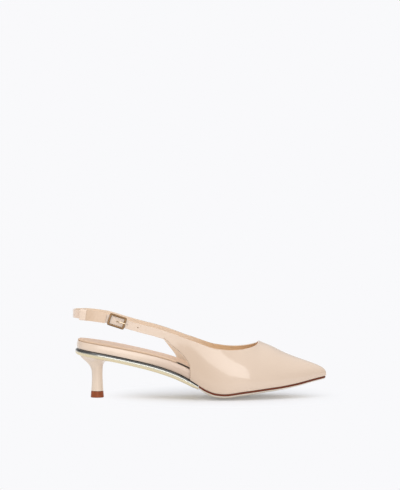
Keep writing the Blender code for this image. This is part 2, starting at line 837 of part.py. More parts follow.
def make_sling_strap():
    """From the inner quarter round the heel, under the tail, and folded round the centre bar."""
    stations = []
    for x in places_along(place(0) - STRAP_OVERHANG, SLING_JOINT - GAP, 9)[::-1]:
        stations.append(lifted(x, MEDIAL, 0.0))
    centre, _, out = stations[0]
    stations[0] = (centre, strap_across(SLING_JOINT - GAP, MEDIAL) / STRAP_WIDTH, out)
    loop = CENTRE_BAR / 2 + GAP
    dip_from = TAB_ENDS[0]
    tail_from = TAIL_END - 6 * GAP
    run = places_along(place(0) - STRAP_OVERHANG, CENTRE_BAR_AT, 12)[1:]
    for x in run:
        under = ease((x - place(0) + STRAP_OVERHANG) / (tail_from - place(0) + STRAP_OVERHANG))
        dip = ease((x - dip_from) / (CENTRE_BAR_AT - 5 * loop - dip_from))
        lift = under * UNDER_TAIL - dip * (BAR_DEPTH + loop + UNDER_TAIL)
        stations.append(lifted(x, LATERAL, lift))
    centre, along, up, out = strap_frame(CENTRE_BAR_AT)
    bar = centre - out * BAR_DEPTH
    for step in range(1, 7):
        turn = math.pi * step / 6
        around = along * math.sin(turn) - out * math.cos(turn)
        stations.append((bar + around * loop, up, out))
    back = bar + out * loop - along * FOLD_LENGTH
    stations.append((back, up, out))
    return strip("sling_strap", LEATHER, stations, STRAP_WIDTH, WALL)


def make_tab():
    """Wide sleeve piece over the strap's tail, behind the buckle."""
    stations = []
    for x in places_along(TAB_ENDS[0], TAB_ENDS[1], 6):
        stations.append(lifted(x, LATERAL, GAP + TAB_THICK))
    return strip("buckle_tab", LEATHER, stations, TAB_WIDTH, TAB_THICK)


def make_keeper():
    """Leather loop round the sling strap and the tail."""
    skin = Skin()
    half = STRAP_WIDTH / 2 + GAP + KEEPER_THICK
    outer = GAP + KEEPER_THICK
    inner = UNDER_TAIL - WALL - GAP - KEEPER_THICK
    soft = KEEPER_THICK * 0.9
    corners = []
    for up_sign, near, far in ((1, outer, inner), (-1, inner, outer)):
        for out_at, sign in ((near, 1 if near > far else -1), (far, -1 if near > far else 1)):
            corners.append((up_sign, out_at, sign))
    rows = []
    for x in places_along(KEEPER_ENDS[0], KEEPER_ENDS[1], 5):
        centre, _, up, out = strap_frame(x)
        row = []
        for up_sign, out_at, sign in corners:
            side_point = centre + up * up_sign * half + out * (out_at - sign * soft)
            face_point = centre + up * up_sign * (half - soft) + out * out_at
            first_up = (up_sign > 0) == (sign < 0)
            row += [side_point, face_point] if first_up else [face_point, side_point]
        rows.append(row + row[:1])
    skin.grid(rows)
    centre, _, up, out = strap_frame(KEEPER_ENDS[0])
    made = build("keeper", skin, LEATHER, facing=up, nearest=centre + up * half)
    thicken(made, KEEPER_THICK)
    return made


def sweep(points, across, radius, sides=8, closed=False):
    """A rod through points; across is a direction square to the whole path."""
    skin = Skin()
    points = [np.array(p, float) for p in points]
    rows = []
    for i, point in enumerate(points):
        before = points[i - 1] if i or closed else point
        after = points[(i + 1) % len(points)] if closed or i + 1 < len(points) else point
        ahead = after - before
        ahead /= np.linalg.norm(ahead)
        other = np.cross(across, ahead)
        row = []
        for side in range(sides):
            turn = 2 * math.pi * (side + 0.5) / sides
            row.append(point + radius * (across * math.cos(turn) + other * math.sin(turn)))
        rows.append(row + row[:1])
    skin.grid(rows + rows[:1] if closed else rows)
    if not closed:
        for row in (rows[0], rows[-1]):
            skin.face(*[skin.point(co) for co in row[:-1]])
    return skin


def make_buckle_frame():
    """Rounded frame over the strap, and the centre bar that lies under it."""
    centre, along, up, out = strap_frame(BUCKLE_AT)
    lift = out * (GAP + BUCKLE_BAR / 2)
    half_long = (BUCKLE_LENGTH - BUCKLE_BAR) / 2
    half_high = (BUCKLE_HEIGHT - BUCKLE_BAR) / 2
    path = []
    for quarter in range(4):
        sign_a = (1, -1, -1, 1)[quarter]
        sign_u = (1, 1, -1, -1)[quarter]
        for step in range(4):
            turn = math.pi / 2 * (quarter + step / 3)
            a = sign_a * (half_long - BUCKLE_CORNER) + BUCKLE_CORNER * math.cos(turn)
            u = sign_u * (half_high - BUCKLE_CORNER) + BUCKLE_CORNER * math.sin(turn)
            path.append(centre + lift + along * a + up * u)
    frame = build("buckle_frame", sweep(path, out, BUCKLE_BAR / 2, closed=True), BUCKLE_GOLD)
    at = centre - along * CENTRE_BAR_BACK
    deep = -out * BAR_DEPTH
    legs = [
        at + lift + up * half_high,
        at + deep * LEG_TURN + up * half_high,
        at + deep + up * (half_high - CENTRE_BAR / 2),
        at + deep - up * (half_high - CENTRE_BAR / 2),
        at + deep * LEG_TURN - up * half_high,
        at + lift - up * half_high,
    ]
    bar = build("buckle_centre_bar", sweep(legs, along, CENTRE_BAR / 2), BUCKLE_GOLD)
    bar.hide_render = True
    bar.display_type = "WIRE"
    join = frame.modifiers.new("centre_bar", "BOOLEAN")
    join.operation = "UNION"
    join.object = bar
    join.solver = "EXACT"
    return frame


def make_prong():
    """Prong from the centre bar out through the strap's hole, its tip on the front bar."""
    centre, along, up, out = strap_frame(BUCKLE_AT)
    top = GAP + BUCKLE_BAR + GAP + PRONG / 2
    start = GAP + PRONG / 2
    points = [
        centre - along * HOLE / 4 + out * start,
        centre + along * BUCKLE_LENGTH * 0.22 + out * (start + (top - start) * 0.75),
        centre + along * (BUCKLE_LENGTH / 2 - BUCKLE_BAR) + out * top,
        centre + along * (BUCKLE_LENGTH / 2 + BUCKLE_BAR * 0.2) + out * top,
    ]
    return build("buckle_prong", sweep(points, up, PRONG / 2, sides=6), BUCKLE_GOLD)


def cut_holes(upper):
    """The strap's row of holes."""
    for number in range(HOLE_COUNT):
        x = BUCKLE_AT + number * HOLE_PITCH
        centre, _, up, out = strap_frame(x)
        ends = [centre - out * 2 * WALL, centre + out * WALL]
        cutter = build(f"hole_cutter_{number}", sweep(ends, up, HOLE / 2), LEATHER)
        cutter.hide_render = True
        cutter.display_type = "WIRE"
        hole = upper.modifiers.new(f"hole_{number}", "BOOLEAN")
        hole.operation = "DIFFERENCE"
        hole.object = cutter
        hole.solver = "EXACT"


def main():
    for old in list(bpy.data.objects):
        bpy.data.objects.remove(old, do_unlink=True)
    make_outsole()
    make_rand()
    make_footbed()
    make_sock()
    make_heel()
    make_heel_tip()
    cut_holes(make_upper())
    make_sling_strap()
    make_tab()
    make_keeper()
    make_buckle_frame()
    make_prong()


main()
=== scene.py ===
"""Looks of the slingback pump: leather, lining, metal, camera and light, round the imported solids.

Metres, in the frame of the solids: +Z up, +X towards the toe, +Y towards the inner side.
"""

import math

import bmesh
import bpy
import numpy as np
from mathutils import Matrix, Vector


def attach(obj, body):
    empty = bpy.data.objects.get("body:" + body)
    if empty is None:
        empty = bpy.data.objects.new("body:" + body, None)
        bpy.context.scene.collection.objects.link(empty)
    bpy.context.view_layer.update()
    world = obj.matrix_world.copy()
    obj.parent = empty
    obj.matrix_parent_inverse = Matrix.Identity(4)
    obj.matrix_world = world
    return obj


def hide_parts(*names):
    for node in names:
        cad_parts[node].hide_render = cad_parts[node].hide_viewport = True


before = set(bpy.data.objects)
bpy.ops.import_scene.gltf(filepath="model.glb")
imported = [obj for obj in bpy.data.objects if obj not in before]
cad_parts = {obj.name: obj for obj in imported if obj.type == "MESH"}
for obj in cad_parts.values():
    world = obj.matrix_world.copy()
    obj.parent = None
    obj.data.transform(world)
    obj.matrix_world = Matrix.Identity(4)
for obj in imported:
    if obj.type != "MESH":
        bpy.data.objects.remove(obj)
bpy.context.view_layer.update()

MM = 0.001
LATERAL = -1
MEDIAL = 1

# Main sizes
SHOE_LENGTH = 252 * MM  # back of the rand to the toe tip
BALL_WIDTH = 73 * MM
INSTEP_RISE = 45.8 * MM  # throat above the feather line
HEEL_RISE = 43.7 * MM  # heel seat above the ball, both at the feather line
TOE_SPRING = 15.0 * MM  # toe above the ball, both at the feather line
HEEL_SETBACK = 22 * MM  # back of the rand behind the centre of the heel tip
GAP = 0.3 * MM  # between neighbouring pieces

# Sole
OUTSOLE_THICK = 2.6 * MM
OUTSOLE_INSET = 0.7 * MM
BALL_CROWN = 4.1 * MM  # how far the sole dips below its edges at the ball
CONTACT_DEPTH = 0.5 * MM  # pressed flat where the ball meets the floor
WAIST_SEAM = 0.4905  # share of the length where rand meets outsole
RAND_THICK = 6.2 * MM
RAND_ROUND = 1.7 * MM
FOOTBED_THICK = 10.0 * MM
SEAT_INSET = 1.5 * MM
SOCK_THICK = 1.9 * MM
SOCK_INSET = 1.1 * MM
SOCK_CROWN = 0.7 * MM
CROWN_FLATNESS = 2.4  # power of the dip under the ball from side to side
FOOTBED_END = 0.965  # share of the length, under the toe
SOCK_END = 0.93  # share of the length
NARROWS_FROM = 0.2  # share of the length where the footbed starts to draw inside the upper
NARROWS_OVER = 0.14

# Upper
WALL = 1.4 * MM
FEATHER_TUCK = 1.2 * MM
TUCK_HEIGHT = 12 * MM
STRAP_WIDTH = 8.1 * MM
STRAP_SPREAD = 0.692 * BALL_WIDTH  # across the strap loop, outside to outside
STRAP_OVERHANG = 2.5 * MM  # of the strap behind the rand
STRAP_TURN = 28 * MM  # length of the loop's round back
STRAP_LEAN = 0.24  # how far the strap leans in, as a share of its spread for each instep rise
LEAN_START = 0.1
STRAP_FLARE = 0.9  # how the line of the straps opens forward: amount and power
STRAP_FLARE_POWER = 1.6
STRAP_SHAPE_FROM = 0.29  # shares of the length over which the wall takes over from the strap
STRAP_SHAPE_OVER = 0.26
STRAP_SHAPE_UP = 0.7  # share of the collar's height at which the wall is as steep as the strap
QUARTER_FOOT = 0.4568 * SHOE_LENGTH - HEEL_SETBACK  # outer quarter's rear edge, at the sole
QUARTER_REACH = 26 * MM  # from there back to the corner under the strap
MEDIAL_EXTENSION = 12 * MM  # how much further back the inner quarter reaches
THROAT = 0.7325 * SHOE_LENGTH - HEEL_SETBACK
QUARTER_LEAN = 8 * MM  # top of the line up from the quarter's foot, ahead of that foot
RIDGE_END = 0.9985  # share of the length
UNDER_THROAT = THROAT + 6.4 * MM  # lower end of the line down from the throat
SLING_JOINT = 0.246 * SHOE_LENGTH - HEEL_SETBACK  # inner quarter and sling strap are joined

# Heel
TIP_HEIGHT = 6.4 * MM
TIP_LENGTH = 13.2 * MM
TIP_WIDTH = 12.6 * MM
HEEL_STEM = 10.7 * MM
HEEL_SEAT_INSET = 4.4 * MM
HEEL_SEAT_LENGTH = 46 * MM
STEM_FLATNESS = 2.3  # power of the stem's outline: 2 is an ellipse

# Buckle, the tab under it and the keeper
BUCKLE_AT = 20.5 * MM
BUCKLE_LENGTH = 17.2 * MM
BUCKLE_HEIGHT = 12.0 * MM
BUCKLE_BAR = 1.6 * MM
CENTRE_BAR = 1.2 * MM
CENTRE_BAR_BACK = 3.2 * MM  # centre bar behind the middle of the frame
LEG_TURN = 0.85  # share of the bar's depth at which its legs turn under the strap
PRONG = 1.1 * MM
HOLE = 1.9 * MM
HOLE_PITCH = 10.4 * MM
HOLE_COUNT = 3
TAB_WIDTH = 10.4 * MM
TAB_ENDS = (-9.2 * MM, 9.6 * MM)
TAB_THICK = 1.0 * MM
FOLD_LENGTH = 7 * MM
KEEPER_ENDS = (-16.2 * MM, -9.9 * MM)
KEEPER_THICK = 1.1 * MM
TAIL_END = -15.6 * MM

# Worked out from the sizes above
UNDER_TAIL = -(WALL + GAP)
BAR_DEPTH = 2 * WALL + 2 * GAP + CENTRE_BAR / 2  # centre bar inside the strap's outer face
CENTRE_BAR_AT = BUCKLE_AT - CENTRE_BAR_BACK

# How finely the surfaces are divided
RUNGS = {"strap": 13, "turn": 6, "waist": 13, "vamp": 15}
ROUND_END = 9 * MM  # length of a layer's round end
END_STEPS = 16  # places round a layer's round end
MIDDLE_STEPS = 90
END_MARGINS = (1.5 * MM, 4 * MM)  # from a plain or a round end to the next place
FINE_ACROSS = np.sin(np.linspace(-np.pi / 2, np.pi / 2, 25))
FINE_ALONG = 3  # times the rungs of the solid upper
FINE_UP = 17
ROD_SIDES = 12
HOLE_SIDES = 20
STITCH_SIDES = 8
SQUARE_SIDES = 24
KEEPER_SIDES = 48
ROUND_ROWS = {"outsole": 7, "rand": 17, "footbed": 6, "sock": 8}
PLACES = {"inner": 16, "outer": 18, "fold": 7, "tab": 14, "keeper": 7}
HEEL_LEVELS = 57
HEEL_PLACES = 33
TIP_PLACES = 41

# What the solids leave out: soft edges of the layers, stitches, and the profiles of small parts
SOCK_FLOAT = 0.15 * GAP  # sock above the footbed
SOCK_FLATNESS = 3  # power of the sock's swell from side to side
SOCK_SOFT = 1.1  # shares of its thickness: the round of its upper edge, and its low edge
SOCK_BEND = (0.28, 0.72)
SOCK_LOW = ((0.25, 0.06), (0.5, 0.0))
SOCK_SHADE_UP = 0.9 * SOCK_THICK  # faces this low and this near the side, or this near the back, take painted shade
SOCK_SHADE_IN = 0.9 * MM
SOCK_SHADE_BACK = 4.5 * MM
UNDERSIDE = -0.9  # a face that points down more steeply than this is part of an underside
RAND_ROLL = 3 * MM  # foil rolled under the rand
FOOTBED_SOFT = 0.9 * MM
FOOTBED_ROLL = 0.75 * MM
FOOTBED_TOP_IN = 2.2 * FOOTBED_SOFT
FOOTBED_SHOULDER = (0.995, 0.09)  # share up at its upper edge, and the drop over the round
FOOTBED_SIDE = ((0.36, 0.72), (0.1, 0.52), (0.0, 0.34), (0.1, 0.16), (0.5, 0.0))  # mm in, share up
OUTSOLE_TOP_IN = 0.22  # shares of the outsole's thickness
OUTSOLE_SWELL = 0.12
OUTSOLE_BEND = (0.06, 0.62)  # where its half-round edge starts, and how deep it is
OUTSOLE_LOW = ((0.2, 0.72), (0.3, 0.93), (0.5, 1.0))  # inset and depth
OUTSOLE_DARK = 0.72  # down to here the edge is stained
UPPER_SOFT = 0.38 * MM
STRAP_SOFT = 0.35 * MM
TAB_SOFT = 0.3 * MM
KEEPER_SOFT = 0.28 * MM
STRIP_PLACES = (-0.5, -0.42, -0.2, 0.0, 0.2, 0.42, 0.5)  # across a strip's width
STITCH_PITCH = 1.7 * MM
STITCH_LENGTH = 1.15 * MM
STITCH_RADIUS = 0.27 * MM
STITCH_INSET = 1.35 * MM
STITCH_RAISED = 0.35  # share of its radius by which a stitch's middle is above the leather
STITCH_FINE = 6
STITCHED_RUNGS = 9  # from the corner under the strap down to the sole
STITCH_ROWS = ((0, 0.15), (0.06, 0.6), (0.18, 0.95), (0.5, 1), (0.82, 0.95), (0.94, 0.6), (1, 0.15))
HOLE_ROWS = ((-1.5, 0.14), (-1.0, 0.15), (-0.25, 0.24), (0.0, 0.3), (1.0, 0.45))  # shares of wall, hole
TIP_ROWS = (
    (0.0, 0.95), (0.03, 0.985), (0.08, 1.0), (0.2, 0.995), (0.5, 0.965),
    (0.8, 0.945), (0.93, 0.94), (0.98, 0.93), (1.0, 0.91),
)
PRONG_LOW = GAP + PRONG / 2
PRONG_TOP = PRONG_LOW + BUCKLE_BAR + GAP / 2  # over the frame's front bar
PRONG_PATH = (  # along the strap from the hole, and out from it
    (-HOLE / 4, -WALL / 2),
    (HOLE / 4, PRONG_LOW + 0.2 * GAP),
    (0.16 * BUCKLE_LENGTH, PRONG_LOW + 0.45 * (PRONG_TOP - GAP)),
    (0.3 * BUCKLE_LENGTH, 0.93 * PRONG_TOP),
    (BUCKLE_LENGTH / 2 - BUCKLE_BAR, PRONG_TOP),
    (BUCKLE_LENGTH / 2 + 0.2 * BUCKLE_BAR, 0.97 * PRONG_TOP),
)
BUCKLE_ROUND = 0.35 * BUCKLE_BAR  # corners of the frame
BUCKLE_THICK = 0.62 * BUCKLE_BAR  # half the bar's section, which is nearly square
BUCKLE_SQUARE = (0.45, 0.45)  # powers that square up a section: lower is squarer
KEEPER_SQUARE = (0.28, 0.36)


def table(**columns):
    """A table with named columns, one value in each for each section."""
    return {name: np.array(values, float) for name, values in columns.items()}


# The plan of the last: shares of the shoe's length and of the ball width.
PLAN = table(
    along=(0, 0.012, 0.04, 0.085, 0.15, 0.23, 0.32, 0.4, 0.48, 0.55, 0.62, 0.69, 0.76, 0.83, 0.9, 0.955,
        0.985, 1),
    lateral=(0, 0.159, 0.268, 0.332, 0.357, 0.356, 0.369, 0.409, 0.465, 0.499, 0.497, 0.452, 0.37,
        0.268, 0.15, 0.045, -0.018, -0.077),
    medial=(0, 0.159, 0.264, 0.32, 0.336, 0.316, 0.3, 0.322, 0.388, 0.459, 0.501, 0.499, 0.46, 0.391,
        0.301, 0.218, 0.163, 0.077),
)

# The feather line, where the upper meets the sole: shares of heel rise and toe spring.
FEATHER = table(
    along=(0, 0.083, 0.149, 0.237, 0.302, 0.39, 0.461, 0.49, 0.518, 0.559, 0.595, 0.66, 0.761, 0.821,
        0.881, 0.956, 1),
    heel=(1, 0.924, 0.856, 0.747, 0.657, 0.498, 0.304, 0.201, 0.104, 0.018, 0, 0, 0, 0, 0, 0, 0),
    toe=(0, 0, 0, 0, 0, 0, 0, 0, 0, 0, 0, 0.127, 0.32, 0.43, 0.587, 0.86, 1),
)

# Layers of the sole: shares of rand thickness, footbed thickness and ball crown.
LAYERS = table(
    along=(0, 0.08, 0.2, 0.3, 0.4, 0.461, 0.49, 0.53, 0.58, 0.65, 0.8, 0.93, 1),
    rand=(0.95, 0.93, 0.96, 1, 1.02, 0.9, 0.6, 0.5, 0.5, 0.5, 0.5, 0.5, 0.5),
    footbed=(0.76, 0.77, 0.81, 0.86, 0.95, 1, 0.85, 0.45, 0.3, 0.28, 0.26, 0.25, 0.25),
    crown=(0, 0, 0, 0.06, 0.2, 0.45, 0.62, 0.85, 1, 0.92, 0.6, 0.22, 0.06),
)

# Heights above the feather line, as shares of the instep rise. The ridge runs down the vamp
# to the toe, and behind the throat it is the foot's own line, which only shapes the walls.
RIDGE = table(
    along=(0, 0.2, 0.325, 0.457, 0.545, 0.578, 0.619, 0.66, 0.701, 0.7325, 0.781, 0.842, 0.903, 0.946,
        0.972, 0.988, 0.997, 1),
    ridge=(3.9, 3.3, 2.8, 2.29, 1.94, 1.79, 1.56, 1.37, 1.165, 1.015, 0.872, 0.664, 0.475, 0.335, 0.246,
        0.176, 0.11, 0.06),
)
TOPLINE = table(
    along=(-0.01, 0.02, 0.048, 0.083, 0.118, 0.211, 0.286, 0.325, 0.369, 0.413, 0.457, 0.49, 0.523,
        0.545, 0.577, 0.619, 0.66, 0.7, 0.722, 0.7325),
    top=(0.84, 0.852, 0.87, 0.88, 0.884, 0.841, 0.822, 0.824, 0.823, 0.832, 0.862, 0.914, 0.953, 0.965,
        0.963, 0.938, 0.912, 0.928, 0.964, 1.013),
)

# Rear edge of a quarter: shares of its reach back from the foot, and of the height there.
REAR_EDGE = table(
    outer=(1, 0.9, 0.79, 0.68, 0.43, 0.243, 0.107, 0.02, 0, 0),
    inner=(1, 0.87, 0.71, 0.59, 0.45, 0.325, 0.19, 0.08, 0.02, 0),
    up=(1, 0.945, 0.88, 0.808, 0.685, 0.57, 0.455, 0.33, 0.165, 0),
)

# Heel, from the tip up: shares of the height to the seat at its back and front, and of the
# reach from the stem out to the seat at the back, the front and the sides.
HEEL_ROWS = table(
    along=range(8),
    back_up=(0, 0.18, 0.38, 0.57, 0.7, 0.82, 0.93, 1),
    front_up=(0, 0.24, 0.52, 0.74, 0.87, 0.94, 0.978, 1),
    back=(0, 0, 0, 0.02, 0.12, 0.38, 0.78, 1),
    front=(0, 0, 0, 0.01, 0.06, 0.19, 0.5, 1),
    side=(0, 0, 0, 0.01, 0.09, 0.31, 0.68, 1),
    waist=(1.14, 1.05, 1, 1.01, 1.05, 1.08, 1.1, 1.1),
)

# Where the upper starts on each side: the end of the strap's tail, and the sling joint.
UPPER_REAR = ((LATERAL, TAIL_END), (MEDIAL, SLING_JOINT))

# Finishes: linear colour and the painted shade it darkens into between two places along the shoe,
# roughness, metal, coat, shine, grain per metre and its depth, and how strong its painted gloss streaks
# are.
PLAIN_FINISH = dict(coat=0.0, metal=0.0, shine=0.5, grain=2600, deep=0.035, gloss_streaks=0.0, painted_shade=())
FINISHES = {
    # painted shade: the leather turns darker towards the back of the upper
    "leather": dict(
        colour=(0.72, 0.56, 0.435), painted_shade=((0.15, 0.095), (0.63, 0.47, 0.345)), rough=0.34, coat=1.0
    ),
    # painted shade: the lining turns darker and deeper tan ahead, inside the throat
    "lining": dict(
        colour=(0.81, 0.645, 0.49), painted_shade=((0.085, 0.125), (0.8, 0.56, 0.33)),
        rough=0.55, grain=3200, deep=0.05
    ),
    # painted shade: the wrap turns darker ahead, where it runs in under the quarter
    "wrap": dict(
        colour=(0.78, 0.62, 0.49), painted_shade=((0.03, 0.085), (0.625, 0.47, 0.365)), rough=0.34, coat=0.5
    ),
    "sling": dict(colour=(0.8, 0.61, 0.475), rough=0.34, coat=1.0),
    "tab": dict(colour=(0.67, 0.49, 0.35), rough=0.4, coat=0.15),
    "keeper": dict(colour=(0.85, 0.67, 0.53), rough=0.34, coat=0.7),
    "sock": dict(colour=(0.76, 0.545, 0.4), rough=0.5, grain=3000, deep=0.06),
    # its streaks are painted upright gloss streaks
    "heel_cover": dict(colour=(0.79, 0.64, 0.51), rough=0.3, coat=0.25, deep=0.03, gloss_streaks=0.16),
    # painted shade: a tan groove along the sock's low side, turning nearly black ahead as a painted dark
    # slot by the quarter
    "sock_shade": dict(
        colour=(0.64, 0.455, 0.31), painted_shade=((0.078, 0.082), (0.03, 0.02, 0.012)),
        rough=0.7, grain=3000, deep=0.06
    ),
    "hole_wall": dict(colour=(0.62, 0.47, 0.34), rough=0.8, grain=3000, deep=0.05),
    "thread": dict(colour=(0.35, 0.24, 0.165), rough=0.6, grain=9000, deep=0.08),
    # this colour gives way to a painted reflection, dark above and pale below
    "rand_metal": dict(colour=(0.93, 0.88, 0.7), rough=0.24, metal=1.0, grain=900, deep=0.006),
    "rand_under": dict(colour=(0.78, 0.68, 0.54), rough=0.5, grain=2500, deep=0.05),
    "outsole_edge": dict(colour=(0.15, 0.034, 0.014), shine=0.2, rough=0.45, grain=2500, deep=0.06),
    "outsole_cream": dict(colour=(0.82, 0.74, 0.62), rough=0.55, grain=2000, deep=0.06),
    # its streaks are painted upright gloss streaks
    "tip": dict(colour=(0.29, 0.07, 0.022), shine=0.25, rough=0.42, grain=1800, deep=0.08, gloss_streaks=0.6),
    # a paler copy of the buckle's gold: painted highlight on the prong
    "gold_highlight": dict(colour=(0.9, 0.74, 0.52), rough=0.25, metal=1.0, grain=1500, deep=0.01),
    # the same gold darkened: painted shade on the frame
    "gold": dict(colour=(0.165, 0.095, 0.045), rough=0.2, metal=1.0, grain=1500, deep=0.01),
}
UNEVEN = 0.03  # spread of a plain finish's colour
GLOSS_SPREAD = 0.12
GRAIN_HEIGHT = 0.2 * MM
GLOSS_STREAK_STRETCH = (30.0, 30.0, 0.8)  # upright painted gloss streaks

# The rand's painted reflection and highlight, a dark room above and a pale floor below, by where its
# face points: from straight below at 0 to straight above at 1.
RAND_REFLECTION_ENDS = ((0.0, (0.58, 0.52, 0.32)), (1.0, (0.42, 0.41, 0.39)))
RAND_REFLECTION_BANDS = (
    (0.12, (0.78, 0.66, 0.43)), (0.46, (0.78, 0.68, 0.47)), (0.54, (0.66, 0.65, 0.56)),
    (0.58, (0.58, 0.58, 0.53)), (0.64, (0.12, 0.12, 0.12)), (0.9, (0.06, 0.06, 0.06)),
)

# Camera. The photograph is taken as one millimetre to a pixel at the shoe.
FRAME_WIDE = 400
FRAME_HIGH = 490
HEEL_PIXEL = 96.9  # across to the middle of the heel tip
FLOOR_PIXEL = 398.0  # down to the floor under it
CAMERA_FAR = 3.0
CAMERA_ELEVATION = math.radians(5.0)
SHOE_MIDDLE_Z = 45 * MM

# Lamps: name, place, the point each faces, width, height and power.
LAMPS = (
    ("strip", (0.2, -1.15, 0.385), (0.128, -0.03, 0.036), 1.35, 0.34, 3.9),
    ("top", (-0.25, -0.8, 1.25), (0.1, 0, 0), 0.8, 0.8, 4.5),
)

# Floor and wall. The wall is farther from the shoe than the camera, and keeps out of its way.
FLOOR_FRONT = -4.0
FLOOR_SIDES = (-4.0, 0.1, 4.2)
FLOOR_BACK = 2.72
FLOOR_BEND = 0.68
FLOOR_DROP = 0.2 * MM  # below the sole
WALL_TOP = 1.275
FLOOR_COLOUR = (0.86, 0.87, 0.895, 1)
FLOOR_GLOW = (0.947, 0.947, 0.965, 1)
SHADE_MIDDLE = (0.128, 0.02, 0.0)  # round here the floor glows least and takes a soft shadow
SHADE_ENDS = (0.06, 0.13)
SHADE_GLOW = 0.14

# The studio's light by direction: axis, two limits on it, and the strength at each.
WORLD_COLOUR = (0.985, 0.99, 1.0, 1)
WORLD_GLOW = (("Y", (-0.9, 0.35), (0.42, 0.3)), ("Z", (0.15, 0.95), (0.0, 0.75)))


def slopes_of(knots, values):
    """Slopes at the knots that keep a curve through them free of overshoot."""
    step = np.diff(knots)
    rise = np.diff(values) / step
    slope = np.empty(len(knots))
    slope[0] = rise[0]
    slope[-1] = rise[-1]
    same_way = rise[:-1] * rise[1:] > 0
    before = 2 * step[1:] + step[:-1]
    after = step[1:] + 2 * step[:-1]
    safe_left = np.where(same_way, rise[:-1], 1)
    safe_right = np.where(same_way, rise[1:], 1)
    mean = (before + after) / (before / safe_left + after / safe_right)
    slope[1:-1] = np.where(same_way, mean, 0)
    return slope


def read(rows, column, at):
    """The value of a column at a share, on a smooth curve through the table's rows."""
    knots = rows["along"]
    values = rows[column]
    slope = slopes_of(knots, values)
    at = np.clip(np.asarray(at, float), knots[0], knots[-1])
    i = np.clip(np.searchsorted(knots, at) - 1, 0, len(knots) - 2)
    step = knots[i + 1] - knots[i]
    t = (at - knots[i]) / step
    start = (1 + 2 * t) * (1 - t) ** 2 * values[i] + t * (1 - t) ** 2 * step * slope[i]
    end = t**2 * (3 - 2 * t) * values[i + 1] + t**2 * (t - 1) * step * slope[i + 1]
    return start + end


def ease(value):
    """A soft step from 0 to 1."""
    value = np.clip(value, 0, 1)
    return value * value * (3 - 2 * value)


def share(x):
    """The share of the shoe's length at x."""
    return (x + HEEL_SETBACK) / SHOE_LENGTH


def place(along):
    """The x of a share of the shoe's length."""
    return along * SHOE_LENGTH - HEEL_SETBACK


def plan_loop():
    """The plan of the last as one dense closed curve: heel back, outer side, toe, inner side."""
    points = [(place(a), -w * BALL_WIDTH) for a, w in zip(PLAN["along"], PLAN["lateral"])]
    back = list(zip(PLAN["along"], PLAN["medial"]))[-2:0:-1]
    points += [(place(a), w * BALL_WIDTH) for a, w in back]
    points = np.array(points)
    dense = []
    for i in range(len(points)):
        p = np.roll(points, 1 - i, axis=0)[:4]
        gaps = np.sqrt(np.linalg.norm(np.diff(p, axis=0), axis=1))
        knot = np.concatenate([[0], np.cumsum(gaps)])
        t = np.linspace(knot[1], knot[2], 24, endpoint=False)[:, None]
        parts = p
        for wide in (1, 2):
            ends = list(zip(knot, knot[wide:], parts, parts[1:]))
            parts = [((b - t) * first + (t - a) * last) / (b - a) for a, b, first, last in ends]
        dense.append(((knot[2] - t) * parts[0] + (t - knot[1]) * parts[1]) / (knot[2] - knot[1]))
    return np.concatenate(dense)


LOOP = plan_loop()
ALONG_LOOP = np.roll(LOOP, -1, axis=0) - np.roll(LOOP, 1, axis=0)
INWARD = np.stack([-ALONG_LOOP[:, 1], ALONG_LOOP[:, 0]], axis=1)
INWARD = INWARD / np.linalg.norm(INWARD, axis=1)[:, None]
TOE_AT = int(np.argmax(LOOP[:, 0]))


def side_of_loop(side, inset):
    """One side of the plan, heel to toe, moved inwards by an amount or by a function of x."""
    amount = inset(LOOP[:, 0])[:, None] if callable(inset) else inset
    moved = LOOP + INWARD * amount
    if side == LATERAL:
        return moved[: TOE_AT + 1]
    return np.concatenate([moved[TOE_AT:], moved[:1]])[::-1]


def edge_y(side, x, inset=0.0):
    """The y of one side of the plan at x."""
    points = side_of_loop(side, inset)
    return np.interp(x, np.maximum.accumulate(points[:, 0]), points[:, 1])


def feather_z(x):
    """Height of the sole's top edge, where upper and footbed begin."""
    along = share(x)
    base = OUTSOLE_THICK + BALL_CROWN + GAP - CONTACT_DEPTH
    return base + read(FEATHER, "heel", along) * HEEL_RISE + read(FEATHER, "toe", along) * TOE_SPRING


def crown_z(x, across):
    """How far a layer dips below its edges, at a share across from -1 to 1."""
    return -read(LAYERS, "crown", share(x)) * BALL_CROWN * (1 - np.abs(across) ** CROWN_FLATNESS)


def footbed_inset(x):
    """The footbed lies inside the upper in front, and nearly flush with the rand behind."""
    inside = FEATHER_TUCK + WALL + GAP
    blend = ease((share(x) - NARROWS_FROM) / NARROWS_OVER)
    return SEAT_INSET + (inside - SEAT_INSET) * blend


def footbed_top(x):
    """Height of the footbed's upper edge."""
    return feather_z(x) + GAP + read(LAYERS, "footbed", share(x)) * FOOTBED_THICK


class Skin:
    """Points welded where they coincide, and the faces between them."""

    def __init__(self):
        self.points = []
        self.index = {}
        self.faces = []

    def point(self, co):
        """The number of a point, the same for points that coincide."""
        key = tuple(int(round(float(c) * 1e7)) for c in co)
        if key not in self.index:
            self.index[key] = len(self.points)
            self.points.append(tuple(float(c) for c in co))
        return self.index[key]

    def face(self, *corners):
        """A face between numbered points, unless it has shrunk to a line."""
        kept = [c for i, c in enumerate(corners) if c != corners[i - 1]]
        if len(set(kept)) > 2:
            self.faces.append(kept)

    def grid(self, rows):
        """Faces between rows of points, each row as long as the next."""
        ids = [[self.point(co) for co in row] for row in rows]
        for low, high in zip(ids, ids[1:]):
            for i in range(len(low) - 1):
                self.face(low[i], low[i + 1], high[i + 1], high[i])


def top_z(x):
    """Height of the topline, and of the strap's upper edge."""
    return feather_z(x) + read(TOPLINE, "top", share(x)) * INSTEP_RISE


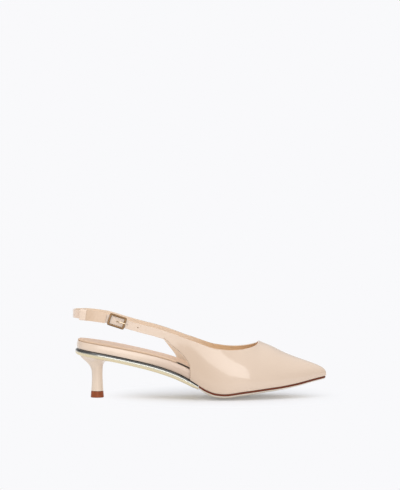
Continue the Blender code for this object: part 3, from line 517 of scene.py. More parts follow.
def strap_drop(x):
    """The strap's width measured straight down."""
    step = 1 * MM
    slope = (top_z(x + step) - top_z(x - step)) / (2 * step)
    return STRAP_WIDTH * np.sqrt(1 + slope**2)


def strap_half(x):
    """Half the strap loop's spread at x: straight sides and a round back."""
    turn_at = turn_start()
    back = np.clip((turn_at - x) / STRAP_TURN, 0, 1)
    ahead = np.clip((x - turn_at) / SHOE_LENGTH, 0, 1)
    return STRAP_SPREAD / 2 * (np.sqrt(1 - back**2) + STRAP_FLARE * ahead**STRAP_FLARE_POWER)


def strap_point(side, x, z):
    """A point on the outer face of the strap."""
    lean = 1 - STRAP_LEAN * ((z - top_z(x)) / INSTEP_RISE + LEAN_START)
    return np.array([x, side * strap_half(x) * lean, z])


def rise_of(x, z):
    """The share of the way from feather to ridge at which the wall has a height."""
    height = (z - feather_z(x)) / (read(RIDGE, "ridge", share(x)) * INSTEP_RISE)
    return 2 / math.pi * math.asin(float(np.clip(height, 0, 1)))


def wall_point(side, x, rise):
    """A point on the upper's outer face, at x and a share of the way from feather to ridge."""
    turn = rise * math.pi / 2
    low = feather_z(x)
    up = read(RIDGE, "ridge", share(x)) * INSTEP_RISE * math.sin(turn)
    outer = edge_y(side, x)
    middle = (edge_y(LATERAL, x) + edge_y(MEDIAL, x)) / 2
    y = middle + (outer - middle) * math.cos(turn)
    tuck = min(FEATHER_TUCK, abs(outer - middle) * 0.5)
    y -= side * tuck * max(0.0, 1 - up / TUCK_HEIGHT) ** 2 * math.cos(turn)
    collar = read(TOPLINE, "top", share(x)) * INSTEP_RISE
    behind = 1 - ease((share(x) - STRAP_SHAPE_FROM) / STRAP_SHAPE_OVER)
    strapness = behind * ease(up / collar / STRAP_SHAPE_UP)
    strap = strap_point(side, x, low + up)[1]
    return np.array([x, y * (1 - strapness) + strap * strapness, low + up])


def foot_of(side):
    """Where the quarter's rear edge meets the sole."""
    return QUARTER_FOOT - (MEDIAL_EXTENSION if side == MEDIAL else 0)


def rungs_of(side, rear):
    """Lines across one side of the upper, from lower to upper edge, rear to toe.

    Each is a pair of places on the last, given as x and the share of the way up.
    """
    foot = foot_of(side)
    corner = foot - QUARTER_REACH
    rungs = []
    strap_low = top_z(corner) - strap_drop(corner)
    for x in places_along(rear, corner, RUNGS["turn"], RUNGS["strap"]):
        low = (x, rise_of(x, top_z(x) - strap_drop(x)))
        rungs.append((low, (x, rise_of(x, top_z(x)))))
    high_end = foot + QUARTER_LEAN
    backs = REAR_EDGE["outer" if side == LATERAL else "inner"][1:]
    ups = REAR_EDGE["up"][1:]
    reach = strap_low - feather_z(foot)
    for step, (back, up) in enumerate(zip(backs, ups)):
        x = foot - back * QUARTER_REACH
        z = feather_z(foot) + up * reach
        high = corner + (high_end - corner) * (step + 1) / len(backs)
        rungs.append(((x, rise_of(x, z)), (high, rise_of(high, top_z(high)))))
    for mix in np.linspace(0, 1, RUNGS["waist"])[1:]:
        low = foot + (UNDER_THROAT - foot) * mix
        high = high_end + (THROAT - high_end) * math.sin(mix * math.pi / 2)
        rise = 1.0 if mix == 1 else rise_of(high, top_z(high))
        rungs.append(((low, 0.0), (high, rise)))
    for mix in np.sin(np.linspace(0, np.pi / 2, RUNGS["vamp"])[1:]):
        low = UNDER_THROAT + (place(1) - UNDER_THROAT) * mix
        high = THROAT + (place(RIDGE_END) - THROAT) * mix
        rungs.append(((low, 0.0), (high, 1.0)))
    return rungs


def strap_across(x, side):
    """From the strap's lower edge straight up to its upper edge."""
    top = top_z(x)
    return strap_point(side, x, top) - strap_point(side, x, top - strap_drop(x))


def strap_frame(x, side=LATERAL):
    """Centre of the strap's outer face at x, and its directions along, up and out."""
    step = 0.5 * MM

    def centre(at):
        return strap_point(side, at, top_z(at) - strap_drop(at) / 2)

    along = centre(x + step) - centre(x - step)
    along /= np.linalg.norm(along)
    out = np.cross(along, strap_across(x, side)) * -side
    out /= np.linalg.norm(out)
    up = np.cross(out, along)
    up = up if up[2] > 0 else -up
    return centre(x), along, up, out


def turn_start():
    """Where the strap loop's straight sides end and its round back begins."""
    return place(0) - STRAP_OVERHANG + STRAP_TURN


def places_along(start, end, count, straight=None):
    """Places from start forward to end: evenly round the back of the strap loop, then straight on."""
    turn_at = turn_start()
    around = []
    if start < turn_at:
        first = math.asin(min(1.0, (turn_at - start) / STRAP_TURN))
        last = math.asin(max(0.0, (turn_at - end) / STRAP_TURN))
        around = [turn_at - STRAP_TURN * math.sin(a) for a in np.linspace(first, last, count)]
    if end > turn_at:
        ahead = np.linspace(max(start, turn_at), end, straight or count)
        around += list(ahead)[1 if around else 0 :]
    return around


def rand_bottom(x):
    """Height of the rand's lower edge."""
    return feather_z(x) - GAP - read(LAYERS, "rand", share(x)) * RAND_THICK


def lifted(x, side, lift):
    """A place on the strap, raised off its outer face, and its directions up and out."""
    centre, _, up, out = strap_frame(x, side)
    return centre + out * lift, up, out


def ring(centre, first, second, sides, shift=0.0, powers=(1, 1)):
    """A closed ring of points round a centre; powers below 1 square up its outline."""
    points = []
    for step in range(sides):
        turn = 2 * math.pi * (step + shift) / sides
        a, b = [
            math.copysign(abs(value) ** power, value)
            for value, power in zip((math.cos(turn), math.sin(turn)), powers)
        ]
        points.append(centre + first * a + second * b)
    return points + points[:1]


def tube(skin, rings):
    """Faces round a row of closed rings, and one across each end."""
    skin.grid(rings)
    for end in (rings[0], rings[-1]):
        skin.face(*[skin.point(co) for co in end[:-1]])


def shell(loops):
    """A closed skin from loops of two sides each, with a face grid across both ends."""
    skin = Skin()
    for side in (0, 1):
        skin.grid([loop[side] for loop in loops])
    for loop in (loops[0], loops[-1]):
        skin.grid([loop[0], loop[1]])
    return skin


def sweep(points, across, radius, sides=ROD_SIDES, shift=0.5, powers=(1, 1), closed=False):
    """A rod through points; across is a direction square to the whole path."""
    skin = Skin()
    rings = []
    for i, point in enumerate(points):
        before = points[i - 1] if i or closed else point
        after = points[(i + 1) % len(points)] if closed or i + 1 < len(points) else point
        other = np.cross(across, (after - before) / np.linalg.norm(after - before))
        rings.append(ring(point, across * radius, other * radius, sides, shift, powers))
    if closed:
        skin.grid(rings + rings[:1])
    else:
        tube(skin, rings)
    return skin


def fine_places(rear, front, outer, tips):
    """Places along one row of a layer, close together where it has no rear or front and is round."""
    turn = ROUND_END * (1 - np.cos(np.linspace(0, np.pi / 2, END_STEPS)))
    first = outer[0] + turn if rear is None else np.array([rear])
    last = outer[1] - turn[::-1] if front is None else np.array([front])
    low = first[-1] + END_MARGINS[rear is None]
    high = last[0] - END_MARGINS[front is None]
    if rear is None:
        first += tips[0] - outer[0]
    if front is None:
        last += tips[1] - outer[1]
    return np.concatenate([first, np.linspace(low, high, MIDDLE_STEPS), last])


def finish_mesh(name, skin, materials, facing=None, smooth_angle=35):
    """An object from a skin, its faces turned outwards, or an open sheet's first face to facing."""
    mesh = bpy.data.meshes.new(name)
    mesh.from_pydata(skin.points, [], skin.faces)
    work = bmesh.new()
    work.from_mesh(mesh)
    bmesh.ops.recalc_face_normals(work, faces=work.faces)
    if facing is not None:
        work.faces.ensure_lookup_table()
        if work.faces[0].normal.dot(Vector(facing)) < 0:
            bmesh.ops.reverse_faces(work, faces=work.faces)
    work.to_mesh(mesh)
    work.free()
    mesh.shade_smooth()
    mesh.set_sharp_from_angle(angle=math.radians(smooth_angle))
    for material in materials:
        mesh.materials.append(finish_of(material))
    piece = bpy.data.objects.new(name, mesh)
    bpy.context.scene.collection.objects.link(piece)
    return piece


def dress(piece, slot, *nodes):
    """Joins a piece to the frame's root body and hides the solids it stands for; slot is not used."""
    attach(piece, "root")
    if nodes:
        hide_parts(*nodes)


def modify(piece, name, kind, **settings):
    """Adds a modifier."""
    made = piece.modifiers.new(name, kind)
    for key, value in settings.items():
        setattr(made, key, value)


def thicken(piece, thickness, soft, inner=0, fine=1):
    """Smooths an open sheet, gives it its wall and rounds its cut edges."""
    modify(piece, "smooth", "SUBSURF", levels=fine, render_levels=fine)
    modify(piece, "wall", "SOLIDIFY", thickness=thickness, offset=-1, use_quality_normals=True,
           material_offset=inner)
    modify(piece, "edge", "BEVEL", width=soft, segments=3, limit_method="ANGLE",
           angle_limit=math.radians(50), use_clamp_overlap=True)
    apply_all(piece)
    piece.data.shade_smooth()


def apply_all(piece):
    """Turns a piece's modifiers into its mesh."""
    graph = bpy.context.evaluated_depsgraph_get()
    mesh = bpy.data.meshes.new_from_object(piece.evaluated_get(graph))
    piece.modifiers.clear()
    piece.data = mesh


def sole_piece(name, materials, rows, rear=None, front=None, ground=None):
    """A closed layer of the sole, with a round end where no rear or front is given.

    A row is an inset from the plan and a height. Ground is the material index of the underside.
    """
    skin = Skin()
    tips = [side_of_loop(LATERAL, inset)[[0, -1], 0] for inset, _ in rows]
    outer = [min(tip[0] for tip in tips), max(tip[1] for tip in tips)]
    rings = []
    for (inset, height), ends in zip(rows, tips):
        at = fine_places(rear, front, outer, ends)
        sides = []
        for side in (LATERAL, MEDIAL):
            points = side_of_loop(side, inset)
            y = np.interp(at, np.maximum.accumulate(points[:, 0]), points[:, 1])
            sides.append(np.column_stack([at, y, height(at, 1.0)]))
        for end in [0] * (rear is None) + [-1] * (front is None):
            sides[1][end] = sides[0][end]
        rings.append(sides)
    for side in (0, 1):
        skin.grid([sides[side] for sides in rings])
    side_faces = len(skin.faces)
    ends = []
    for sides, (_, height) in ((rings[0], rows[0]), (rings[-1], rows[-1])):
        face = []
        for t in FINE_ACROSS:
            mix = (t + 1) / 2
            line = sides[0] * (1 - mix) + sides[1] * mix
            line[:, 2] = height(line[:, 0], t)
            face.append(line)
        skin.grid(face)
        ends.append(face)
        if len(ends) == 1:
            top_faces = len(skin.faces)
    for end in (0, -1):
        if np.allclose(rings[0][0][end], rings[0][1][end], atol=1e-7):
            continue
        top = [line[end] for line in ends[0]]
        bottom = [line[end] for line in ends[1]]
        near = [sides[0][end] for sides in rings]
        far = [sides[1][end] for sides in rings]
        outline = top + far[1:-1] + bottom[::-1] + near[-2:0:-1]
        skin.face(*[skin.point(co) for co in outline])
    piece = finish_mesh(name, skin, materials, smooth_angle=50)
    if ground is not None:
        for face in piece.data.polygons[top_faces:]:
            face.material_index = ground
        for face in piece.data.polygons[:side_faces]:
            low = sum(piece.data.vertices[v].co.z for v in face.vertices) / len(face.vertices)
            if low < float(feather_z(face.center.x)) - GAP - OUTSOLE_DARK * OUTSOLE_THICK:
                face.material_index = ground
    return piece


def between(first, second):
    """Heights a share of the way from one surface of the sole to another."""

    def level(mix):
        return lambda x, across: first(x) * (1 - mix) + second(x) * mix + crown_z(x, across)

    return level


def inside_footbed(extra):
    """An inset from the plan that follows the footbed's side, an amount further in."""
    return lambda x: footbed_inset(x) + extra


def from_side(point, inset=0.0):
    """How far a point is from its own side of the plan."""
    side = LATERAL if point[1] < 0 else MEDIAL
    return abs(float(edge_y(side, point[0], inset)) - point[1])


def make_outsole():
    """The brown edge and the pale sole, from the waist seam forward."""

    def level(down):
        depth = GAP + down * OUTSOLE_THICK
        return lambda x, across: np.maximum(feather_z(x) + crown_z(x, across) - depth, 0.0)

    rows = [(OUTSOLE_TOP_IN, 0.0)]
    for share_down in np.linspace(0, 1, ROUND_ROWS["outsole"]):
        swell = OUTSOLE_SWELL * (1 - math.sin(math.pi * share_down))
        rows.append((swell, OUTSOLE_BEND[0] + OUTSOLE_BEND[1] * share_down))
    rows += OUTSOLE_LOW
    rows = [(OUTSOLE_INSET + inset * OUTSOLE_THICK, level(down)) for inset, down in rows]
    materials = ["outsole_edge", "outsole_cream"]
    piece = sole_piece("outsole_shown", materials, rows, rear=place(WAIST_SEAM) + GAP / 2, ground=1)
    dress(piece, "outsole", "outsole")


def make_rand():
    """The half-round metallic edge from the heel to the waist."""
    level = between(lambda x: feather_z(x) - GAP, rand_bottom)
    rows = []
    for turn in np.linspace(0, math.pi, ROUND_ROWS["rand"]):
        rows.append((RAND_ROUND * (1 - math.sin(turn)), level((1 - math.cos(turn)) / 2)))
    front = place(WAIST_SEAM) - GAP / 2
    piece = sole_piece("rand_shown", ["rand_metal", "rand_under"], rows, front=front)
    for face in piece.data.polygons:
        if face.normal.z < UNDERSIDE and from_side(face.center) > RAND_ROLL:
            face.material_index = 1
    dress(piece, "rand_metal", "rand")


def make_footbed():
    """The wrapped board that the foot rests on."""
    level = between(lambda x: feather_z(x) + GAP, footbed_top)
    rows = [(FOOTBED_TOP_IN, 1.0)]
    for turn in np.linspace(0, math.pi / 2, ROUND_ROWS["footbed"]):
        roll = FOOTBED_ROLL + FOOTBED_SOFT * (1 - math.sin(turn))
        rows.append((roll, FOOTBED_SHOULDER[0] - FOOTBED_SHOULDER[1] * (1 - math.cos(turn))))
    rows += [(inset * MM, up) for inset, up in FOOTBED_SIDE]
    rows = [(inside_footbed(inset), level(up)) for inset, up in rows]
    dress(sole_piece("footbed_shown", ["wrap"], rows, front=place(FOOTBED_END)), "leather", "footbed")


def make_sock():
    """The padded sock on the footbed; its low side faces carry painted shade, a tan groove that turns
    nearly black ahead as a painted dark slot by the quarter.
    """

    def level(up):
        def height(x, across):
            swell = SOCK_CROWN * (1 - np.abs(across) ** SOCK_FLATNESS)
            return footbed_top(x) + SOCK_FLOAT + up * (SOCK_THICK + swell) + crown_z(x, across)

        return height

    rows = []
    for turn in np.linspace(0, math.pi / 2, ROUND_ROWS["sock"]):
        rows.append((SOCK_SOFT * (1 - math.sin(turn)), SOCK_BEND[0] + SOCK_BEND[1] * math.cos(turn)))
    rows += SOCK_LOW
    rows = [(inside_footbed(SOCK_INSET + inset * SOCK_THICK), level(up)) for inset, up in rows]
    piece = sole_piece("sock_shown", ["sock", "sock_shade"], rows, front=place(SOCK_END))
    # low faces at the side and the back take the painted shade
    for face in piece.data.polygons:
        x, _, z = face.center
        at_edge = from_side(face.center, inside_footbed(SOCK_INSET)) < SOCK_SHADE_IN
        low = z < float(footbed_top(x)) + SOCK_FLOAT + SOCK_SHADE_UP
        if low and (at_edge or x < place(0) + SOCK_SHADE_BACK):
            face.material_index = 1
    dress(piece, "sock", "sock_pad")


def refined(rungs, factor):
    """More lines between the given ones, on smooth curves through them."""
    flat = np.array([[*low, *high] for low, high in rungs])
    rows = {str(i): flat[:, i] for i in range(4)}
    rows["along"] = np.arange(len(flat), dtype=float)
    at = np.linspace(0, len(flat) - 1, (len(flat) - 1) * factor + 1)
    columns = [read(rows, str(i), at) for i in range(4)]
    return [((a, min(b, 1.0)), (c, min(d, 1.0))) for a, b, c, d in zip(*columns)]


def along_line(line, mix):
    """The x and the rise a share of the way along a line."""
    low, high = np.array(line)
    return low + (high - low) * mix


def on_line(side, line, mix):
    """The point of the wall a share of the way along a line."""
    return wall_point(side, *along_line(line, mix))


def make_upper():
    """Both halves of the upper, from the strap's end and the sling joint to the toe."""
    skin = Skin()
    up = np.linspace(0, 1, FINE_UP)
    for side, rear in UPPER_REAR:
        lines = refined(rungs_of(side, rear), FINE_ALONG)
        skin.grid([[on_line(side, line, mix) for mix in up] for line in lines])
    piece = finish_mesh("upper_shown", skin, ["leather", "lining"], facing=(0, LATERAL, 0))
    thicken(piece, WALL, UPPER_SOFT, inner=1)
    cut_holes(piece)
    dress(piece, "leather", "upper")


def cut_holes(piece):
    """The strap's row of punched holes."""
    cutters = []
    for number in range(HOLE_COUNT):
        centre, _, up, out = strap_frame(BUCKLE_AT + number * HOLE_PITCH)
        along = np.cross(up, out)
        rings = []
        for level, wide in HOLE_ROWS:
            radius = HOLE * wide
            rings.append(ring(centre + out * level * WALL, up * radius, along * radius, HOLE_SIDES))
        punched = Skin()
        tube(punched, rings)
        cutter = finish_mesh(f"hole_cutter_{number}", punched, ["hole_wall"])
        modify(piece, f"hole_{number}", "BOOLEAN", operation="DIFFERENCE", object=cutter, solver="EXACT",
               material_mode="TRANSFER")
        cutters.append(cutter)
    apply_all(piece)
    for cutter in cutters:
        bpy.data.objects.remove(cutter, do_unlink=True)


def capsule(skin, start, end):
    """A short round-ended bar, as one stitch."""
    axis = end - start
    across = np.cross(axis, [0.0, 0.0, 1.0])
    across *= STITCH_RADIUS / np.linalg.norm(across)
    other = np.cross(axis / np.linalg.norm(axis), across)
    rings = []
    for along, wide in STITCH_ROWS:
        rings.append(ring(start + axis * along, across * wide, other * wide, STITCH_SIDES))
    tube(skin, rings)


def stitch_along(skin, path):
    """Stitches at an even pitch along a path of points."""
    path = np.array(path)
    step = np.linalg.norm(np.diff(path, axis=0), axis=1)
    run = np.concatenate([[0], np.cumsum(step)])
    for number in range(int(run[-1] / STITCH_PITCH)):
        ends = []
        for offset in (0, STITCH_LENGTH):
            at = number * STITCH_PITCH + offset
            ends.append(np.array([np.interp(at, run, path[:, i]) for i in range(3)]))
        capsule(skin, *ends)


def outward(side, line, mix):
    """The outward direction of the wall at a place on a line."""
    x, rise = along_line(line, mix)
    here = wall_point(side, x, rise)
    ahead = wall_point(side, x + 0.5 * MM, rise) - here
    above = wall_point(side, x, min(rise + 0.005, 1.0)) - here
    normal = np.cross(ahead, above)
    normal /= np.linalg.norm(normal)
    return normal if normal[1] * side > 0 else -normal


def make_stitches():
    """The row of stitches inside each quarter's rear edge."""
    skin = Skin()
    for side, rear in UPPER_REAR:
        coarse = rungs_of(side, rear)
        corner = foot_of(side) - QUARTER_REACH
        first = next(i for i, line in enumerate(coarse) if line[0][0] >= corner - 0.1 * MM)
        last = first + STITCHED_RUNGS
        path = []
        for line in refined(coarse, STITCH_FINE)[first * STITCH_FINE : last * STITCH_FINE + 1]:
            mix = STITCH_INSET / np.linalg.norm(on_line(side, line, 1.0) - on_line(side, line, 0.0))
            raised = outward(side, line, mix) * STITCH_RADIUS * STITCH_RAISED
            path.append(on_line(side, line, mix) + raised)
        stitch_along(skin, path)
    dress(finish_mesh("quarter_stitches", skin, ["thread"]), "leather")


def strip(name, stations, width, thickness, soft, materials):
    """A strap of leather through stations, each a centre and its directions up and out."""
    skin = Skin()
    skin.grid([[centre + up * width * t for t in STRIP_PLACES] for centre, up, _ in stations])
    piece = finish_mesh(name, skin, materials, facing=stations[0][2])
    thicken(piece, thickness, soft, inner=len(materials) - 1, fine=2)
    return piece


def make_sling_strap():
    """From the inner quarter round the heel, under the tail, and round the buckle's centre bar."""
    joint = SLING_JOINT + GAP / 2
    back = place(0) - STRAP_OVERHANG
    stations = [lifted(x, MEDIAL, 0) for x in places_along(back, joint, PLACES["inner"])[::-1]]
    centre, _, out = stations[0]
    stations[0] = (centre, strap_across(joint, MEDIAL) / STRAP_WIDTH, out)
    loop = CENTRE_BAR / 2 + GAP
    dip_over = CENTRE_BAR_AT - 5 * loop - TAB_ENDS[0]
    under_over = TAIL_END - 6 * GAP - back
    for x in places_along(back, CENTRE_BAR_AT, PLACES["outer"])[1:]:
        under = ease((x - back) / under_over)
        dip = ease((x - TAB_ENDS[0]) / dip_over)
        lift = under * UNDER_TAIL - dip * (BAR_DEPTH + loop + UNDER_TAIL)
        stations.append(lifted(x, LATERAL, lift))
    centre, along, up, out = strap_frame(CENTRE_BAR_AT)
    bar = centre - out * BAR_DEPTH
    for turn in np.linspace(0, math.pi, PLACES["fold"])[1:]:
        around = along * math.sin(turn) - out * math.cos(turn)
        stations.append((bar + around * loop, up, out))
    stations.append((bar + out * loop - along * FOLD_LENGTH, up, out))
    materials = ["sling", "lining"]
    piece = strip("sling_strap_shown", stations, STRAP_WIDTH, WALL, STRAP_SOFT, materials)
    dress(piece, "leather", "sling_strap")


def make_tab():
    """The wide tab under the buckle, ahead of the keeper."""
    places = places_along(KEEPER_ENDS[1] + GAP / 2, TAB_ENDS[1], PLACES["tab"])
    stations = [lifted(x, LATERAL, GAP + TAB_THICK) for x in places]
    piece = strip("buckle_tab_shown", stations, TAB_WIDTH, TAB_THICK, TAB_SOFT, ["tab"])
    dress(piece, "leather", "buckle_tab")


def make_keeper():
    """The loop of leather round the strap, behind the buckle."""
    half = STRAP_WIDTH / 2 + GAP + KEEPER_THICK
    outer = GAP + KEEPER_THICK
    inner = UNDER_TAIL - WALL - GAP - KEEPER_THICK
    middle = (outer + inner) / 2
    deep = (outer - inner) / 2
    rings = []
    for x in places_along(*KEEPER_ENDS, PLACES["keeper"]):
        centre, _, up, out = strap_frame(x)
        centre = centre + out * middle
        rings.append(ring(centre, up * half, out * deep, KEEPER_SIDES, powers=KEEPER_SQUARE))
    skin = Skin()
    skin.grid(rings)
    piece = finish_mesh("keeper_shown", skin, ["keeper"], facing=strap_frame(KEEPER_ENDS[0])[2])
    thicken(piece, KEEPER_THICK, KEEPER_SOFT)
    dress(piece, "leather", "keeper")


def stem_round(turns):
    """Half the stem's outline from side to side, as a share, at places from back to front."""
    return np.sqrt(np.maximum(1 - np.abs(2 * turns - 1) ** STEM_FLATNESS, 0))


def turns_of(count):
    """Shares from 0 to 1, close together at both ends."""
    return 0.5 - 0.5 * np.cos(np.linspace(0, np.pi, count))


def make_heel():
    """The wrapped heel: a slim stem that flares out to the seat."""
    seat_back = place(0) + HEEL_SEAT_INSET
    seat_front = seat_back + HEEL_SEAT_LENGTH
    stem = HEEL_STEM / 2
    top_half = stem * HEEL_ROWS["waist"][-1]
    foot = TIP_HEIGHT + GAP
    turns = turns_of(HEEL_PLACES)
    taper = np.sqrt(1 - np.clip(2 * turns - 1, 0, 1) ** 3)
    loops = []
    for row in np.linspace(0, HEEL_ROWS["along"][-1], HEEL_LEVELS):
        part = {key: float(read(HEEL_ROWS, key, row)) for key in HEEL_ROWS}
        half = stem * part["waist"]
        back = -half + (seat_back + top_half) * part["back"]
        front = half + (seat_front - top_half) * part["front"]
        x = back + (front - back) * turns
        seat = rand_bottom(x) - GAP
        level = foot + (seat - foot) * (part["back_up"] * (1 - turns) + part["front_up"] * turns)
        sides = []
        for side in (LATERAL, MEDIAL):
            seat_half = np.abs(edge_y(side, x, HEEL_SEAT_INSET)) * taper
            y = half * stem_round(turns) * (1 - part["side"]) + seat_half * part["side"]
            y[[0, -1]] = 0
            sides.append(np.column_stack([x, side * y, level]))
        loops.append(sides)
    piece = finish_mesh("heel_shown", shell(loops), ["heel_cover"], smooth_angle=60)
    dress(piece, "heel_wrap", "heel")


def make_heel_tip():
    """The brown tip under the heel."""
    turns = turns_of(TIP_PLACES)
    loops = []
    for up, wide in TIP_ROWS:
        x = (turns - 0.5) * TIP_LENGTH * wide
        y = TIP_WIDTH / 2 * wide * stem_round(turns)
        z = np.full_like(x, up * TIP_HEIGHT)
        loops.append([np.column_stack([x, side * y, z]) for side in (LATERAL, MEDIAL)])
    dress(finish_mesh("heel_tip_shown", shell(loops), ["tip"]), "tip", "heel_tip")


def make_buckle():
    """The frame with its centre bar, and the prong through the strap's hole."""
    centre, along, up, out = strap_frame(BUCKLE_AT)
    lift = out * (GAP + BUCKLE_BAR / 2)
    half_long = (BUCKLE_LENGTH - BUCKLE_BAR) / 2
    half_high = (BUCKLE_HEIGHT - BUCKLE_BAR) / 2
    path = []
    for quarter, (sign_a, sign_u) in enumerate(((1, 1), (-1, 1), (-1, -1), (1, -1))):
        for turn in np.linspace(0, math.pi / 2, 9) + math.pi / 2 * quarter:
            a = sign_a * (half_long - BUCKLE_ROUND) + BUCKLE_ROUND * math.cos(turn)
            u = sign_u * (half_high - BUCKLE_ROUND) + BUCKLE_ROUND * math.sin(turn)
            path.append(centre + lift + along * a + up * u)
    skin = sweep(path, out, BUCKLE_THICK, SQUARE_SIDES, 0, BUCKLE_SQUARE, closed=True)
    at = centre - along * CENTRE_BAR_BACK
    deep = -out * BAR_DEPTH
    turns = [(lift, half_high), (deep * LEG_TURN, half_high), (deep, half_high - CENTRE_BAR / 2)]
    legs = [at + depth + up * rise for depth, rise in turns]
    legs += [at + depth - up * rise for depth, rise in turns[::-1]]
    rod = sweep(legs, along, CENTRE_BAR / 2)
    base = len(skin.points)
    skin.points += rod.points
    skin.faces += [[corner + base for corner in face] for face in rod.faces]
    # the frame takes the darkened gold and the prong the paler copy: painted shade and painted highlight
    dress(finish_mesh("buckle_frame_shown", skin, ["gold"]), "buckle_gold", "buckle_frame")
    points = [centre + along * ahead + out * rise for ahead, rise in PRONG_PATH]
    prong = finish_mesh("buckle_prong_shown", sweep(points, up, PRONG / 2), ["gold_highlight"])
    dress(prong, "buckle_gold", "buckle_prong")


MADE = {}


def add(tree, kind, inputs, **settings):
    """A shader node, whose inputs each take a value or another node's output."""
    node = tree.nodes.new("ShaderNode" + kind)
    for name, value in settings.items():
        setattr(node, name, value)
    return feed(tree, node, inputs)


def feed(tree, node, inputs):
    """Sets or links a node's inputs."""
    for name, value in inputs.items():
        if isinstance(value, bpy.types.NodeSocket):
            tree.links.new(value, node.inputs[name])
        else:
            node.inputs[name].default_value = value
    return node


def finish_of(name):
    """The procedural material of a finish: a slightly uneven colour with painted shade, painted gloss
    streaks and the rand's painted reflection where the finish has them, gloss and grain.
    """
    if name in MADE:
        return MADE[name]
    facts = {**PLAIN_FINISH, **FINISHES[name]}
    made = bpy.data.materials.new(name + "_look")
    MADE[name] = made
    made.use_nodes = True
    tree = made.node_tree
    where = add(tree, "TexCoord", {}).outputs["Object"]
    # painted gloss streaks stretch the colour's noise upright
    stretch = GLOSS_STREAK_STRETCH if facts["gloss_streaks"] else (1, 1, 1)
    spread = add(tree, "Mapping", {"Vector": where, "Scale": stretch})
    cloud = add(tree, "TexNoise", {"Vector": spread.outputs["Vector"], "Scale": 22.0, "Detail": 3.0})
    ramp = add(tree, "ValToRGB", {"Fac": cloud.outputs["Fac"]})
    uneven = facts["gloss_streaks"] or UNEVEN
    for stop, factor in zip(ramp.color_ramp.elements, (1 - uneven, 1 + uneven * 0.7)):
        stop.color = (*[min(part * factor, 1.0) for part in facts["colour"]], 1)
    # the rand's colour is a painted reflection; the rest are uneven, with painted gloss streaks where
    # given
    colour = painted_reflection(tree) if name == "rand_metal" else ramp.outputs["Color"]
    # painted shade that darkens the colour between two places along the shoe, where the finish has it
    if facts["painted_shade"]:
        colour = turned(tree, colour, where, *facts["painted_shade"])
    gloss = {"Value": cloud.outputs["Fac"]}
    gloss["To Min"] = facts["rough"] * (1 - GLOSS_SPREAD)
    gloss["To Max"] = facts["rough"] * (1 + GLOSS_SPREAD)
    grain = {"Vector": where, "Scale": facts["grain"]}
    grain = add(tree, "TexVoronoi", grain, feature="SMOOTH_F1").outputs["Distance"]
    bump = add(tree, "Bump", {"Strength": facts["deep"], "Distance": GRAIN_HEIGHT, "Height": grain})
    feed(tree, tree.nodes["Principled BSDF"], {
        "Base Color": colour,
        "Metallic": facts["metal"],
        "Roughness": add(tree, "MapRange", gloss).outputs["Result"],
        "Specular IOR Level": facts["shine"],
        "Coat Weight": facts["coat"],
        "Coat Roughness": 0.08,
        "Normal": bump.outputs["Normal"],
    })
    return made


def turned(tree, colour, where, limits, other):
    """Painted shade: a colour that turns into a darker one between two places along the shoe."""
    x = add(tree, "SeparateXYZ", {"Vector": where}).outputs["X"]
    way = {"Value": x, "From Min": limits[0], "From Max": limits[1]}
    way = add(tree, "MapRange", way, interpolation_type="SMOOTHSTEP").outputs["Result"]
    mix = add(tree, "Mix", {}, data_type="RGBA")
    feed(tree, mix, {"Factor": way, "A": colour, "B": (*other, 1)})
    return mix.outputs["Result"]


def painted_reflection(tree):
    """Painted reflection: colours by the way the face points, a dark room above and a pale floor below,
    as the rand's half-round edge would mirror them.
    """
    normal = add(tree, "NewGeometry", {}).outputs["Normal"]
    up = add(tree, "SeparateXYZ", {"Vector": normal}).outputs["Z"]
    level = add(tree, "MapRange", {"Value": up, "From Min": -1.0})
    bands = add(tree, "ValToRGB", {"Fac": level.outputs["Result"]})
    stops = bands.color_ramp.elements
    for end, (position, colour) in zip(stops, RAND_REFLECTION_ENDS):
        end.position = position
        end.color = (*colour, 1)
    for position, colour in RAND_REFLECTION_BANDS:
        stops.new(position).color = (*colour, 1)
    return bands.outputs["Color"]


def make_camera():
    """A long lens that puts the heel tip and the floor where the photograph has them."""
    lens = bpy.data.cameras.new("camera")
    lens.lens = lens.sensor_width * CAMERA_FAR / (FRAME_HIGH * MM)
    lens.clip_end = 30
    eye_x = (FRAME_WIDE / 2 - HEEL_PIXEL) * MM
    eye_z = SHOE_MIDDLE_Z + CAMERA_FAR * math.tan(CAMERA_ELEVATION)
    aim_z = (FLOOR_PIXEL - FRAME_HIGH / 2) * MM
    pitch = math.atan((eye_z - aim_z) / CAMERA_FAR)
    camera = bpy.data.objects.new("camera", lens)
    camera.location = (eye_x, -CAMERA_FAR, eye_z)
    camera.rotation_euler = (math.pi / 2 - pitch, 0, 0)
    bpy.context.scene.collection.objects.link(camera)
    bpy.context.scene.camera = camera


def area_light(name, at, towards, wide, high, power):
    """A rectangular lamp that faces a point."""
    data = bpy.data.lights.new(name, "AREA")
    data.shape = "RECTANGLE"
    data.size = wide
    data.size_y = high
    data.energy = power
    lamp = bpy.data.objects.new(name, data)
    lamp.location = at
    ahead = Vector(towards) - Vector(at)
    lamp.rotation_euler = ahead.to_track_quat("-Z", "Y").to_euler()
    bpy.context.scene.collection.objects.link(lamp)


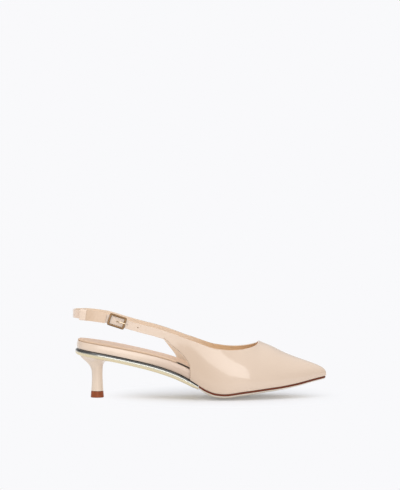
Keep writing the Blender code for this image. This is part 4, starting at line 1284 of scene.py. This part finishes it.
def make_floor():
    """A pale floor that curves up into a pale wall behind the shoe, and glows away from it."""
    line = [(FLOOR_FRONT, 0.0), (0.0, 0.0), (FLOOR_BACK, 0.0)]
    for turn in np.linspace(0, math.pi / 2, 17)[1:]:
        line.append((FLOOR_BACK + FLOOR_BEND * math.sin(turn), FLOOR_BEND * (1 - math.cos(turn))))
    line.append((FLOOR_BACK + FLOOR_BEND, WALL_TOP))
    skin = Skin()
    skin.grid([[(x, y, z - FLOOR_DROP) for x in FLOOR_SIDES] for y, z in line])
    floor = finish_mesh("floor", skin, [], facing=(0, 0, 1))
    made = bpy.data.materials.new("floor_paper")
    made.use_nodes = True
    tree = made.node_tree
    paper = feed(tree, tree.nodes["Principled BSDF"], {
        "Base Color": FLOOR_COLOUR,
        "Roughness": 0.7,
        "Specular IOR Level": 0.1,
    })
    glow = add(tree, "Emission", {"Color": FLOOR_GLOW})
    where = add(tree, "TexCoord", {}).outputs["Object"]
    reach = add(tree, "VectorMath", {0: where, 1: SHADE_MIDDLE}, operation="DISTANCE").outputs["Value"]
    blend = {"Value": reach, "From Min": SHADE_ENDS[0], "From Max": SHADE_ENDS[1], "To Min": SHADE_GLOW}
    blend = add(tree, "MapRange", blend, interpolation_type="SMOOTHSTEP").outputs["Result"]
    mix = {"Fac": blend, 1: paper.outputs["BSDF"], 2: glow.outputs["Emission"]}
    surface = add(tree, "MixShader", mix).outputs["Shader"]
    feed(tree, tree.nodes["Material Output"], {"Surface": surface})
    floor.data.materials.append(made)


def make_world():
    """A white studio, brightest overhead and a little dimmer behind the shoe than before it."""
    world = bpy.data.worlds.new("studio")
    bpy.context.scene.world = world
    world.use_nodes = True
    tree = world.node_tree
    where = add(tree, "TexCoord", {}).outputs["Generated"]
    split = add(tree, "SeparateXYZ", {"Vector": where})
    parts = []
    for axis, limits, values in WORLD_GLOW:
        part = {"Value": split.outputs[axis], "From Min": limits[0], "From Max": limits[1]}
        part.update({"To Min": values[0], "To Max": values[1]})
        part = add(tree, "MapRange", part, interpolation_type="SMOOTHSTEP")
        parts.append(part.outputs["Result"])
    both = add(tree, "Math", dict(enumerate(parts)), operation="ADD").outputs["Value"]
    feed(tree, tree.nodes["Background"], {"Color": WORLD_COLOUR, "Strength": both})


bpy.context.scene.view_settings.view_transform = "Standard"
make_camera()
make_world()
for lamp_facts in LAMPS:
    area_light(*lamp_facts)
for make_piece in (
    make_floor, make_outsole, make_rand, make_footbed, make_sock, make_upper, make_stitches,
    make_sling_strap, make_tab, make_keeper, make_heel, make_heel_tip, make_buckle,
):
    make_piece()
